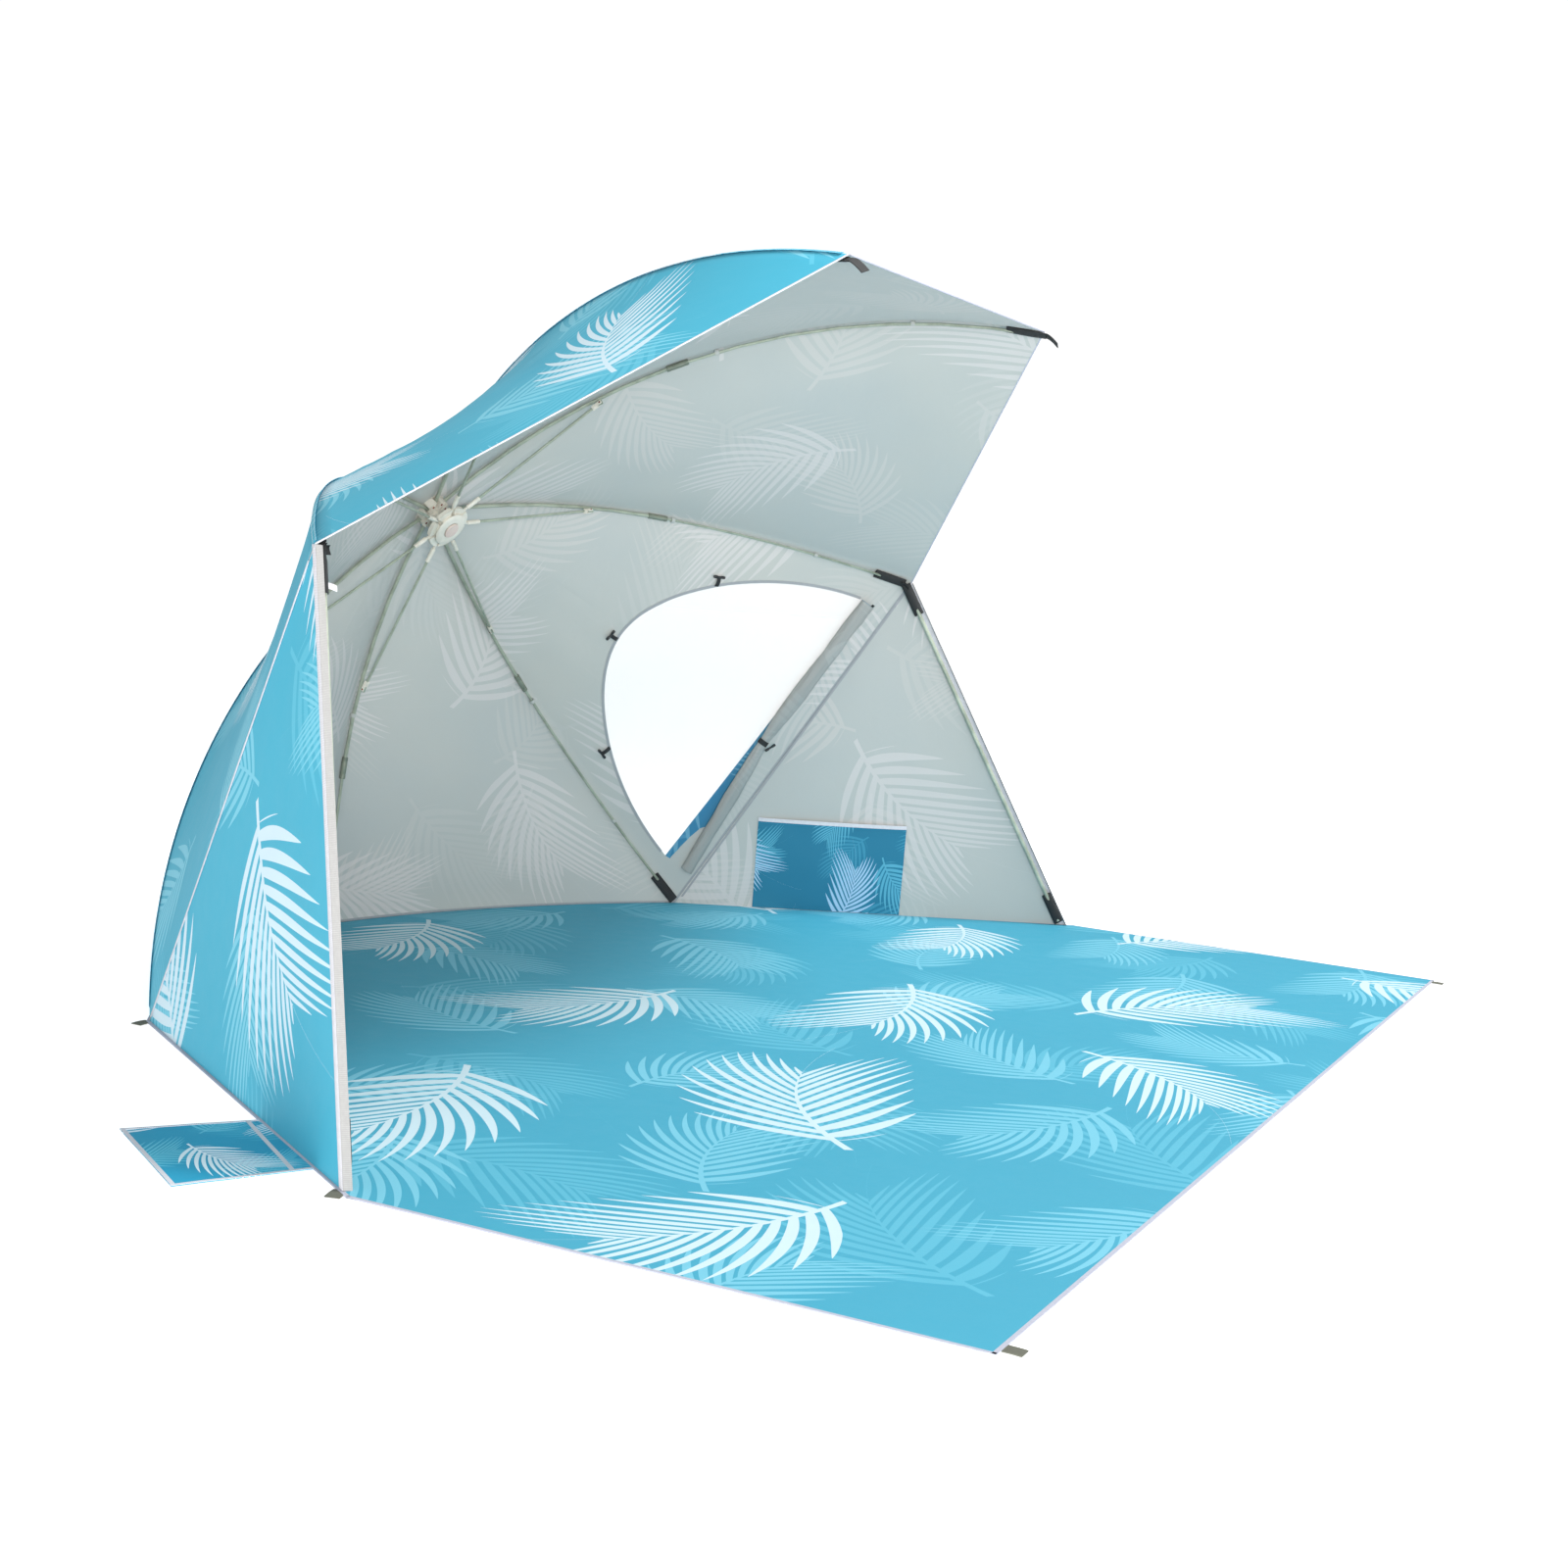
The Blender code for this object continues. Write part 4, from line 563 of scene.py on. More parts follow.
def printed(name, base, tones, scale=1.0, veil=None, roughness=0.62, turn=0.0):
    """Printed cloth: base and frond tones, or its silver back with the print faint in it, painted light through the
    cloth.
    """
    made, tree, shader = new_finish(name)
    cut = add(tree, "UVMap", uv_map="cut").outputs[0]
    turned = add(tree, "Mapping", {"Vector": cut, "Rotation": (0, 0, turn), "Scale": (scale,) * 3})
    cloud = add(tree, "TexNoise", {"Vector": cut, "Scale": CLOUDS, "Detail": 3.0})
    colour = add(tree, "Mix", {"Factor": cloud.outputs["Fac"], "A": linear(base[0]), "B": linear(base[1])},
                 data_type="RGBA").outputs["Result"]
    for sizes, tone in zip(FROND_SIZES, tones):
        layer = add(tree, "Group", {"Cut": turned.outputs[0], **dict(zip(FROND_SOCKETS, sizes))},
                    node_tree=FROND_LAYER)
        mask = layer.outputs[0]
        # The veil mixes the fronds in faintly: painted light shining through the cloth.
        if veil:
            mask = add(tree, "Math", {0: mask, 1: veil}, operation="MULTIPLY").outputs[0]
        colour = add(tree, "Mix", {"Factor": mask, "A": colour, "B": linear(tone)},
                     data_type="RGBA").outputs["Result"]
    warp, weft = (add(tree, "TexWave", {"Vector": cut, "Scale": WAVE_LENGTH / THREAD}, bands_direction=way)
                  for way in "XY")
    weave = add(tree, "Math", {0: warp.outputs["Fac"], 1: weft.outputs["Fac"]}, operation="MULTIPLY")
    crease = add(tree, "TexNoise", {"Vector": cut, "Scale": CREASES, "Detail": 4.0, "Roughness": 0.6})
    fine = add(tree, "Bump", {"Height": weave.outputs[0], "Strength": 0.12, "Distance": 0.0004})
    bump = add(tree, "Bump", {"Height": crease.outputs["Fac"], "Strength": 0.25, "Distance": 0.0022,
                              "Normal": fine.outputs[0]})
    gloss = add(tree, "MapRange", {"Value": crease.outputs["Fac"], "To Min": roughness - 0.08,
                                   "To Max": roughness + 0.08})
    surface(tree, shader, colour, bump.outputs[0], gloss.outputs[0])
    shader.inputs["Specular IOR Level"].default_value = 0.22
    shader.inputs["Sheen Weight"].default_value = 0.03
    return made


def woven(name, hex_dark, hex_light, rib=0.0022, roughness=0.7):
    """Woven tape, webbing or backing: close ribs across it, on the flat cut, rib metres apart."""
    made, tree, shader = new_finish(name)
    cut = add(tree, "UVMap", uv_map="cut").outputs[0]
    ribs = add(tree, "TexWave", {"Vector": cut, "Scale": WAVE_LENGTH / rib}, bands_direction="Y")
    speck = add(tree, "TexNoise", {"Vector": cut, "Scale": SPECKS, "Detail": 2.0})
    tone = add(tree, "Math", {0: ribs.outputs["Fac"], 1: speck.outputs["Fac"]}, operation="MULTIPLY")
    colour = add(tree, "Mix", {"Factor": tone.outputs[0], "A": linear(hex_dark), "B": linear(hex_light)},
                 data_type="RGBA")
    bump = add(tree, "Bump", {"Height": ribs.outputs["Fac"], "Strength": 0.35, "Distance": 0.0004})
    gloss = add(tree, "MapRange", {"Value": speck.outputs["Fac"], "To Min": roughness - 0.06,
                                   "To Max": roughness + 0.06})
    surface(tree, shader, colour.outputs["Result"], bump.outputs[0], gloss.outputs[0])
    return made


# Printed polyester, woven fine and proofed: nearly matt, with crisp fronds and soft creases.
PRINT = printed("printed_polyester", ("3CABC8", "44B3CF"), ("56BCD6", "78CBE1", "CFE7F2"))
# The cloth's back with a rolled silver coat: grey, a little glossier, the print faint in it as painted light through
# the cloth.
SILVER = printed("silver_coated_polyester", ("C4C1B8", "A9B2B4"), ("BFBFBB", "C6C3BF", "D1CCCA"), veil=0.65,
                 roughness=0.5)
# Woven polyester bindings: matt, with close cross ribs that give the edges a light line.
WHITE_TAPE = woven("woven_polyester_tape", "C4C4CB", "EDEDF2")
GROUND_TAPE = woven("lilac_grey_binding_tape", "A7ABBA", "C3C6D4")
SEAM_TAPE = woven("grey_seam_tape", "95989B", "B0B2B5")

sewn_over = {rib: [] for rib in ORDER}      # the pieces that gather with each rib's cloth
GATHER = 0.58                   # how much of a half gore's width is left in the folded frame


def fit(piece, body, slot, *replaced):
    """The piece rides on a body, takes a colour slot and stands for CAD nodes."""
    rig.ride(piece, body)
    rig.slot(piece, slot)
    if replaced:
        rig.replaces(piece, *replaced)


def follow(piece, rib, keep, slot):
    """The piece rides on a rib, and gathers towards the rib's plane as the frame folds."""
    sewn_over[rib].append(piece)
    fit(piece, rib + "_rib", slot)
    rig.squash(piece, rib + "_rib_fold", axis=tuple(across_rib(rib)), anchor=tuple(CROWN), keep=keep)


def gore_half(name, share):
    """Which gore a share of a rib's petal lies in, and the share across that gore."""
    if share < 0:
        return ORDER[ORDER.index(name) - 1], name, 1 + share
    return name, after(name), share


def petal_place(rib):
    return lambda u, v: gore_point(*gore_half(rib, u - 0.5), v)


def petal_cut(rib):
    """A petal's cut: the ridge itself belongs to the gore on the face's own side."""
    def cut(u, v, middle):
        side = -1e-6 if middle < 0.5 else 1e-6
        return gore_cut(*gore_half(rib, u - 0.5 if abs(u - 0.5) > 1e-6 else side), v)
    return cut


petals = {rib: lay("canopy_cloth_" + rib, GORE_STEPS, petal_place(rib), petal_cut(rib), (PRINT, SILVER),
                   out=ridge(rib, 0.5)[1]) for rib in ORDER}


# Window: a bowed opening in the right side gore, with a fine white net and a narrow tape
# round its edge, grey inside and white outside.
WINDOW_GORE = ("right_corner", "right_elbow")
WINDOW_FIRST, WINDOW_LAST = 0.060, 0.915        # shares of the gore across it
WINDOW_TOP, WINDOW_EDGE = 0.542, 0.935          # and down it
WINDOW_POWER = 0.9
WINDOW_STEPS = 72
WINDOW_TAPE, TAPE_LIFT = 0.006, 0.0003
GORE_LENGTH = 0.98
PRISM_HALF = 0.12
NET_THICK, NET_LIFT, NET_PAST = 0.0004, 0.0002, 0.01
NET_MESH, NET_SHARE = 0.0022, 0.24      # drawn coarse, so that it shows; the thread's share of it
MIDDLE_TURN = 0.4907            # where the bow crosses the middle of the gore
window_width = (ridge("right_corner", WINDOW_EDGE)[0] - ridge("right_elbow", WINDOW_EDGE)[0]).length
window_out = gore_out(*WINDOW_GORE, 0.5, 0.75)


def window_share(turn, inset=0.0):
    """Shares of the gore at a place on the bow: turn 0 is by the elbow and 1 by the back corner."""
    first, last = WINDOW_FIRST + inset / window_width, WINDOW_LAST - inset / window_width
    edge, top = WINDOW_EDGE - inset / GORE_LENGTH, WINDOW_TOP + inset / GORE_LENGTH
    return ((first + last) / 2 + (last - first) / 2 * cos(pi * turn),
            edge - (edge - top) * max(sin(pi * turn), 0) ** WINDOW_POWER)


def applied(piece):
    """The piece, with its modifiers made part of its mesh."""
    graph = bpy.context.evaluated_depsgraph_get()
    mesh = bpy.data.meshes.new_from_object(piece.evaluated_get(graph))
    piece.modifiers.clear()
    piece.data = mesh
    return piece


def window_prism():
    """The window's outline, run through the cloth from side to side."""
    bm = bmesh.new()
    ring = [bm.verts.new(gore_point(*WINDOW_GORE, *window_share(k / WINDOW_STEPS)) - window_out * PRISM_HALF)
            for k in range(WINDOW_STEPS + 1)]
    grown = bmesh.ops.extrude_face_region(bm, geom=[bm.faces.new(ring)])
    bmesh.ops.translate(bm, vec=window_out * (2 * PRISM_HALF),
                        verts=[v for v in grown["geom"] if isinstance(v, bmesh.types.BMVert)])
    bmesh.ops.recalc_face_normals(bm, faces=bm.faces)
    return into_scene("window_prism", bm)


def cut_by(piece, prism, operation):
    """The piece, less or within the prism."""
    cut = piece.modifiers.new("window", "BOOLEAN")
    cut.operation = operation
    cut.solver = "EXACT"
    cut.object = prism
    return applied(piece)


def knitted_net():
    """Knitted polyester net: opaque matt threads both ways, and holes that let light through."""
    made, tree, shader = new_finish("knitted_insect_net")
    cut = add(tree, "UVMap", uv_map="cut")
    grid = add(tree, "VectorMath", {0: cut.outputs[0], "Scale": 1 / NET_MESH}, operation="SCALE")
    cell = add(tree, "VectorMath", {0: grid.outputs[0]}, operation="FRACTION")
    place = add(tree, "SeparateXYZ", {0: cell.outputs[0]})
    across = add(tree, "Math", {0: place.outputs["X"], 1: NET_SHARE}, operation="LESS_THAN")
    down = add(tree, "Math", {0: place.outputs["Y"], 1: NET_SHARE}, operation="LESS_THAN")
    thread = add(tree, "Math", {0: across.outputs[0], 1: down.outputs[0]}, operation="MAXIMUM").outputs[0]
    alpha = add(tree, "MapRange", {"Value": thread, "To Min": 0.10, "To Max": 0.85})
    tone = add(tree, "Mix", {"Factor": thread, "A": linear("F1EFEC"), "B": linear("FBF9F6")},
               data_type="RGBA")
    bump = add(tree, "Bump", {"Height": thread, "Strength": 0.3, "Distance": 0.0003})
    gloss = add(tree, "MapRange", {"Value": thread, "To Min": 0.55, "To Max": 0.75})
    tree.links.new(alpha.outputs[0], shader.inputs["Alpha"])
    surface(tree, shader, tone.outputs["Result"], bump.outputs[0], gloss.outputs[0])
    return made


def tape(name, line, width, out, finish, steps=40, thick=0.0006):
    """A flat tape along line(u), which gives its middle, its way across and the way up from it."""
    def place(u, v):
        middle, across, up = line(u)
        return middle + across * (width * (v - 0.5))

    length = sum((line((k + 1) / steps)[0] - line(k / steps)[0]).length for k in range(steps))
    return lay(name, (steps, 2), place, lambda u, v, middle: Vector(((v - 0.5) * width, u * length)),
               (finish,), thick=thick, out=out)


def bow_line(first, last, lift):
    """The line of the tape round the bow, between two turns, on one side of the cloth."""
    past = -WINDOW_TAPE / 2 + 0.001

    def line(u):
        turn = first + (last - first) * u
        across, down = window_share(turn, past)
        place = gore_point(*WINDOW_GORE, across, down)
        out = gore_out(*WINDOW_GORE, across, down)
        onward = gore_point(*WINDOW_GORE, *window_share(turn + 0.004, past)) - place
        return place + out * lift, onward.cross(out).normalized(), out
    return line


NET = knitted_net()
prism = window_prism()
net_halves = {}
for rib, low, high in (("right_corner", WINDOW_FIRST - NET_PAST, 0.5),
                       ("right_elbow", 0.5, WINDOW_LAST + NET_PAST)):
    petals[rib] = cut_by(petals[rib], prism, "DIFFERENCE")

    def net_shares(u, v):
        return low + (high - low) * u, WINDOW_TOP - NET_PAST + (WINDOW_EDGE - WINDOW_TOP + 2 * NET_PAST) * v

    half = lay("window_net_" + rib, (16, 16),
               lambda u, v: gore_point(*WINDOW_GORE, *net_shares(u, v), NET_LIFT),
               lambda u, v, middle: gore_cut(*WINDOW_GORE, *net_shares(u, v)), (NET,), thick=NET_THICK,
               out=window_out)
    net_halves[rib] = cut_by(half, prism, "INTERSECT")
bpy.data.objects.remove(prism)
for rib, petal in petals.items():
    follow(petal, rib, GATHER, "print_cloth")
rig.replaces(petals["left_brow"], "left_front_panel", "top_panel")
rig.replaces(petals["left_corner"], "left_side_panel", "left_back_panel")
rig.replaces(petals["right_corner"], "right_side_panel", "right_back_panel")
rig.replaces(petals["right_brow"], "right_front_panel")
for rib, half in net_halves.items():
    follow(half, rib, GATHER, "net")
    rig.replaces(half, "window_net")

for rib, first, last in (("right_elbow", 0.004, MIDDLE_TURN), ("right_corner", MIDDLE_TURN, 0.992)):
    inner_tape = tape("window_tape_" + rib, bow_line(first, last, -TAPE_LIFT),
                      WINDOW_TAPE, -window_out, SEAM_TAPE)
    outer_tape = tape("window_tape_outside_" + rib, bow_line(first, last, CLOTH + TAPE_LIFT),
                      WINDOW_TAPE, window_out, WHITE_TAPE)
    follow(inner_tape, rib, GATHER, "tab_webbing")
    follow(outer_tape, rib, GATHER, "tab_webbing")
    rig.replaces(inner_tape, "window_binding")


# Toggles: black moulded T-bars, each on a short loop of black webbing sewn to the tape.
# They stand outside the bow and hold the flap when it is let down.
TOGGLE_TURNS = (0.245, 0.53, 0.80)
TOGGLE_PROFILE = ((0, 0.0130), (0.0020, 0.0127), (0.0030, 0.0112), (0.0030, 0.0050), (0.0021, 0.0030),
                  (0.0021, -0.0030), (0.0030, -0.0050), (0.0030, -0.0112), (0.0020, -0.0127), (0, -0.0130))
TOGGLE_OUT, TOGGLE_IN = 0.0185, 0.0062          # off the tape, and in from the cloth
LOOP_LONG, LOOP_UNDER, LOOP_WIDE, LOOP_THICK = 0.019, 0.002, 0.008, 0.0011
LOOP_LIFT, LOOP_BOW = 0.001, 0.005
TOGGLE_PAST = 0.004             # off the window's edge
WINDOW_MIDDLE = (0.45, 0.75)    # shares of the gore that the toggles point away from
GRAIN = 900.0                   # to a metre: about 1.1 mm, coarser than the real mould, so that it shows


def moulded_black():
    """Moulded acetal: deep black, half glossy, with a fine grain from the mould."""
    made, tree, shader = new_finish("black_acetal")
    place = add(tree, "TexCoord")
    grain = add(tree, "TexNoise", {"Vector": place.outputs["Object"], "Scale": GRAIN})
    bump = add(tree, "Bump", {"Height": grain.outputs["Fac"], "Strength": 0.2, "Distance": 0.0001})
    gloss = add(tree, "MapRange", {"Value": grain.outputs["Fac"], "To Min": 0.36, "To Max": 0.52})
    shader.inputs["Base Color"].default_value = linear("1E1F20")
    tree.links.new(bump.outputs[0], shader.inputs["Normal"])
    tree.links.new(gloss.outputs[0], shader.inputs["Roughness"])
    return made


def smooth_piece(name, bm, place, finish):
    """A finished hard piece from a bmesh, put in place, sharp at its turned corners."""
    bmesh.ops.recalc_face_normals(bm, faces=bm.faces)
    bm.transform(place)
    for face in bm.faces:
        face.smooth = True
    made = into_scene(name, bm, finish)
    made.data.set_sharp_from_angle(angle=radians(38))
    return made


def spun(name, profile, place, finish, steps=20):
    """A turned piece: a profile of radius and height spun round the place's Z axis."""
    bm = bmesh.new()
    line = [bm.verts.new((radius, 0, height)) for radius, height in profile]
    edges = [bm.edges.new(pair) for pair in zip(line, line[1:])]
    bmesh.ops.spin(bm, geom=line + edges, cent=(0, 0, 0), axis=(0, 0, 1), angle=2 * pi, steps=steps,
                   use_merge=True)
    bmesh.ops.remove_doubles(bm, verts=bm.verts, dist=0.00001)
    return smooth_piece(name, bm, place, finish)


def facing(origin, x_axis, z_axis):
    """A placement with the given X and Z directions."""
    x = Vector(x_axis).normalized()
    y = Vector(z_axis).cross(x).normalized()
    made = Matrix((x, y, x.cross(y))).transposed().to_4x4()
    made.translation = origin
    return made


# Black polyester webbing, woven close: dull, near black, with its cross ribs just seen.
BLACK_WEBBING = woven("black_polyester_webbing", "1B1C1D", "3B3D3E", rib=0.0018, roughness=0.8)
BLACK_PLASTIC = moulded_black()
for number, turn in enumerate(TOGGLE_TURNS):
    across, down = window_share(turn, -TOGGLE_PAST)
    inward = -gore_out(*WINDOW_GORE, across, down)
    place = gore_point(*WINDOW_GORE, across, down)
    away = place - gore_point(*WINDOW_GORE, *WINDOW_MIDDLE)
    away = (away - inward * away.dot(inward)).normalized()
    rib = "right_elbow" if turn < MIDDLE_TURN else "right_corner"

    def loop_line(u):
        lift = LOOP_LIFT + LOOP_BOW * sin(pi * u * 0.75)
        return place + away * (LOOP_LONG * u - LOOP_UNDER) + inward * lift, away.cross(inward), inward

    loop = tape("toggle_loop_%d" % number, loop_line, LOOP_WIDE, inward, BLACK_WEBBING, steps=8,
                thick=LOOP_THICK)
    held = facing(place + away * TOGGLE_OUT + inward * TOGGLE_IN, inward, away.cross(inward))
    bar = spun("toggle_bar_%d" % number, TOGGLE_PROFILE, held, BLACK_PLASTIC)
    follow(loop, rib, GATHER, "webbing")
    follow(bar, rib, GATHER, "webbing")


# Rolled flap: the window's cover, rolled up below its straight edge with the silver side
# out. Its lower end has slipped, so a wedge of its printed side shows next to the net.
ROLL_TURNS = 4.2
ROLL_WIDE, ROLL_DEEP, ROLL_OFF = 0.0150, 0.0100, 0.0115
ROLL_SLIP = 0.044               # how far its lower end hangs off the edge
ROLL_SHRINK, ROLL_CREASE, ROLL_TWIST = 0.55, 0.17, 0.05
PINCH, PINCH_REACH = 0.34, 0.11         # where the tie pulls it in
FLAP_IN = 0.0135                # the roll's middle, in from the cloth
FLAP_WIDE, FLAP_LONG, FLAP_THICK = 0.25, 0.78, 0.0004
FLAP_STRIP, STRIP_IN = 0.14, 0.0012     # the share of it that isn't rolled, and its start off the cloth
TIE_AT, TIE_WIDE, TIE_SLACK = 0.47, 0.011, 1.18
TIE_BAR_OFF, TIE_BAR_IN, TIE_BAR_LEAN = 0.017, 0.008, 0.4
END_AT, END_OFF, END_LONG, END_DROP, END_WIDE = 0.985, 0.020, 0.016, 0.004, 0.006


def flap_edge(v):
    """The window's straight edge, on the cloth, from the back corner to the elbow."""
    return gore_point(*WINDOW_GORE, WINDOW_FIRST + (WINDOW_LAST - WINDOW_FIRST) * v, WINDOW_EDGE)


flap_along = (flap_edge(1) - flap_edge(0)).normalized()
flap_out = gore_out(*WINDOW_GORE, 0.5, WINDOW_EDGE)
flap_hem = flap_along.cross(flap_out).normalized()
if flap_hem.dot(gore_point(*WINDOW_GORE, 0.5, 1) - gore_point(*WINDOW_GORE, 0.5, 0.9)) < 0:
    flap_hem = -flap_hem


def roll_size(v):
    """The roll's half width and half depth, and how far its middle lies from the edge."""
    pinch = 1 - PINCH * max(0, 1 - abs(v - TIE_AT) / PINCH_REACH) ** 1.4
    slip = max(0, TIE_AT - v) / TIE_AT
    rise = max(0, min(1, (v - TIE_AT) / 0.12))
    return ((ROLL_WIDE - 0.0010 * slip + 0.0015 * rise) * pinch, ROLL_DEEP * pinch,
            ROLL_OFF + ROLL_SLIP * slip ** 1.1 - 0.0030 * rise)


def roll_place(u, v):
    """The flap: a flat strip from the sewn edge, then a spiral; u runs from the edge inwards."""
    wide, deep, middle = roll_size(v)
    edge = flap_edge(v)
    if u < FLAP_STRIP:
        share = u / FLAP_STRIP
        inward = STRIP_IN + (FLAP_IN - deep - STRIP_IN) * share ** 2
        return edge + flap_hem * (middle * share) - flap_out * inward
    share = (u - FLAP_STRIP) / (1 - FLAP_STRIP)
    turn = -pi / 2 + 2 * pi * ROLL_TURNS * share
    shrink = 1 - ROLL_SHRINK * share
    crease = noise.noise(Vector((1.3 * cos(turn) + v * 2, 1.3 * sin(turn), v * 9)))
    crease += 0.7 * (1 - 2 * abs(noise.noise(Vector((1.9 * cos(turn) - v * 4, 1.9 * sin(turn), v * 13)))))
    swell = 1 + (ROLL_CREASE * crease + ROLL_TWIST * sin(turn + v * 5)) * (1 - 0.6 * share)
    return (edge + flap_hem * (middle + wide * shrink * swell * cos(turn))
            - flap_out * (FLAP_IN + deep * shrink * swell * sin(turn)))


# The flap's cloth lies in the roll's shade, painted in: darker copies of the print and of the creased silver.
SHADED_FLAP_PRINT = printed("printed_polyester_painted_shade", ("3B7DA3", "4387AB"), ("5393B4", "6BA3BD", "8FB6C6"))
SHADED_SILVER_ROLL = printed("silver_coated_polyester_painted_shade", ("A3A4A1", "979996"), ("A9ABA9", "ACAEAC", "B4B6B4"),
                      veil=0.3, roughness=0.42)
flap = lay("window_flap_roll", (160, 70), roll_place,
           lambda u, v, middle: Vector((u * FLAP_WIDE + 0.4, v * FLAP_LONG)), (SHADED_FLAP_PRINT, SHADED_SILVER_ROLL),
           thick=FLAP_THICK)
fit(flap, "window_flap", "roll_cloth", "window_flap")

# Tie: a strap of black webbing round the roll, held by a T-bar like the others, and a
# short loop of it at the roll's upper end.
tie_middle = flap_edge(TIE_AT) + flap_hem * roll_size(TIE_AT)[2] - flap_out * FLAP_IN
end_middle = flap_edge(END_AT) + flap_hem * END_OFF - flap_out * FLAP_IN


def tie_line(u):
    turn = 2 * pi * u
    wide, deep = roll_size(TIE_AT)[:2]
    way = flap_hem * (TIE_SLACK * wide * cos(turn)) - flap_out * (TIE_SLACK * deep * sin(turn))
    return tie_middle + way, flap_along, way.normalized()


def end_line(u):
    return end_middle + flap_along * (END_LONG * u) - flap_out * (END_DROP * u * u), flap_hem, -flap_out


tie = tape("flap_tie_strap", tie_line, TIE_WIDE, None, BLACK_WEBBING, steps=28, thick=LOOP_THICK)
tie_held = facing(tie_middle + flap_hem * TIE_BAR_OFF - flap_out * TIE_BAR_IN, flap_out,
                  flap_along + flap_hem * TIE_BAR_LEAN)
tie_bar = spun("flap_tie_bar", TOGGLE_PROFILE, tie_held, BLACK_PLASTIC)
end_loop = tape("flap_end_loop", end_line, END_WIDE, -flap_out, BLACK_WEBBING, steps=6, thick=LOOP_THICK)
fit(tie, "window_flap", "webbing", "flap_tie")
fit(tie_bar, "window_flap", "webbing")
fit(end_loop, "window_flap", "webbing")


# Side walls: a triangle of the same cloth on each side, from the elbow down to the floor
# seam. The front edge is bound and has a stiff lip turned in past the pole; piping marks
# the seam to the canopy.
SIDES = {"left": -1, "right": 1}
WALL_ELBOW = (0.9489, -0.1513, 0.7228)
WALL_CORNER = (0.7718, 0.2711, 0.0023)
WALL_FOOT = (1.2106, -0.4501, 0.0023)
WALL_PAST = 0.013               # the cloth runs past the pole
WALL_WIDE, WALL_LONG = 0.865, 0.78      # on the flat cut
WALL_RIPPLE, WALL_SWELL = 0.003, 0.002
BAND, LIP_TOP, LIP_FOOT, LIP_AHEAD = 0.012, 0.0094, 0.0112, 0.0011
FRONT_LONG, BAND_ROUND, LIP_ROUND = 0.82, 0.020, 0.013      # the front edge's tapes, flat
BEND_TO = 0.45                  # the wall turns with its pole from this share of its width
BINDING_PATH = ((1, CLOTH + TAPE_LIFT), (0, CLOTH + TAPE_LIFT), (-0.06, CLOTH / 2), (0, -TAPE_LIFT),
                (1, -TAPE_LIFT))
PIPING_WIDE, PIPING_AT, PIPING_LIFT = 0.0036, 0.003, 0.0006
SEAM_WIDE, SEAM_AT, SEAM_SINK = 0.0050, 0.006, 0.0004

# Tape with a stiff core: a plain matt grey, a little darker than the cloth's silver.
LIP_TAPE = woven("stiffened_lip_tape", "9A9997", "B4B3B2")


def wall_corners(side):
    """The wall's corners and its way out; the front ones stand past the pole."""
    sign = SIDES[side]
    elbow, corner, foot = (Vector((sign * x, y, z)) for x, y, z in (WALL_ELBOW, WALL_CORNER, WALL_FOOT))
    out = (corner - elbow).cross(foot - elbow).normalized()
    out = out if out.x * sign > 0 else -out
    onward = (foot - corner).normalized()
    return elbow, corner, foot + onward * WALL_PAST, out


def on_wall(side, u, v, lift=0.0):
    """A point on a side wall: u from the back corner to the pole's foot, v from the elbow down."""
    elbow, corner, foot, out = wall_corners(side)
    place = elbow.lerp(corner.lerp(foot, u), v)
    ease = min(1, 16 * u * (1 - u) * v * (1 - v))
    ripple = noise.noise(Vector((place.x * 8 + 3, place.y * 8, place.z * 5)))
    return place + out * (lift + WALL_RIPPLE * ripple * ease + WALL_SWELL * max(0, v - 0.5) * u)


def with_pole(piece, side, slot):
    """The piece stays with the elbow rib along the wall's seam, and follows the pole beyond it."""
    elbow, corner, foot, out = wall_corners(side)
    seam = (corner - elbow).normalized()
    width = (foot - elbow) - seam * (foot - elbow).dot(seam)
    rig.blend(applied(piece), side + "_elbow_rib", side + "_pole", start=elbow, end=elbow + width * BEND_TO)
    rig.slot(piece, slot)


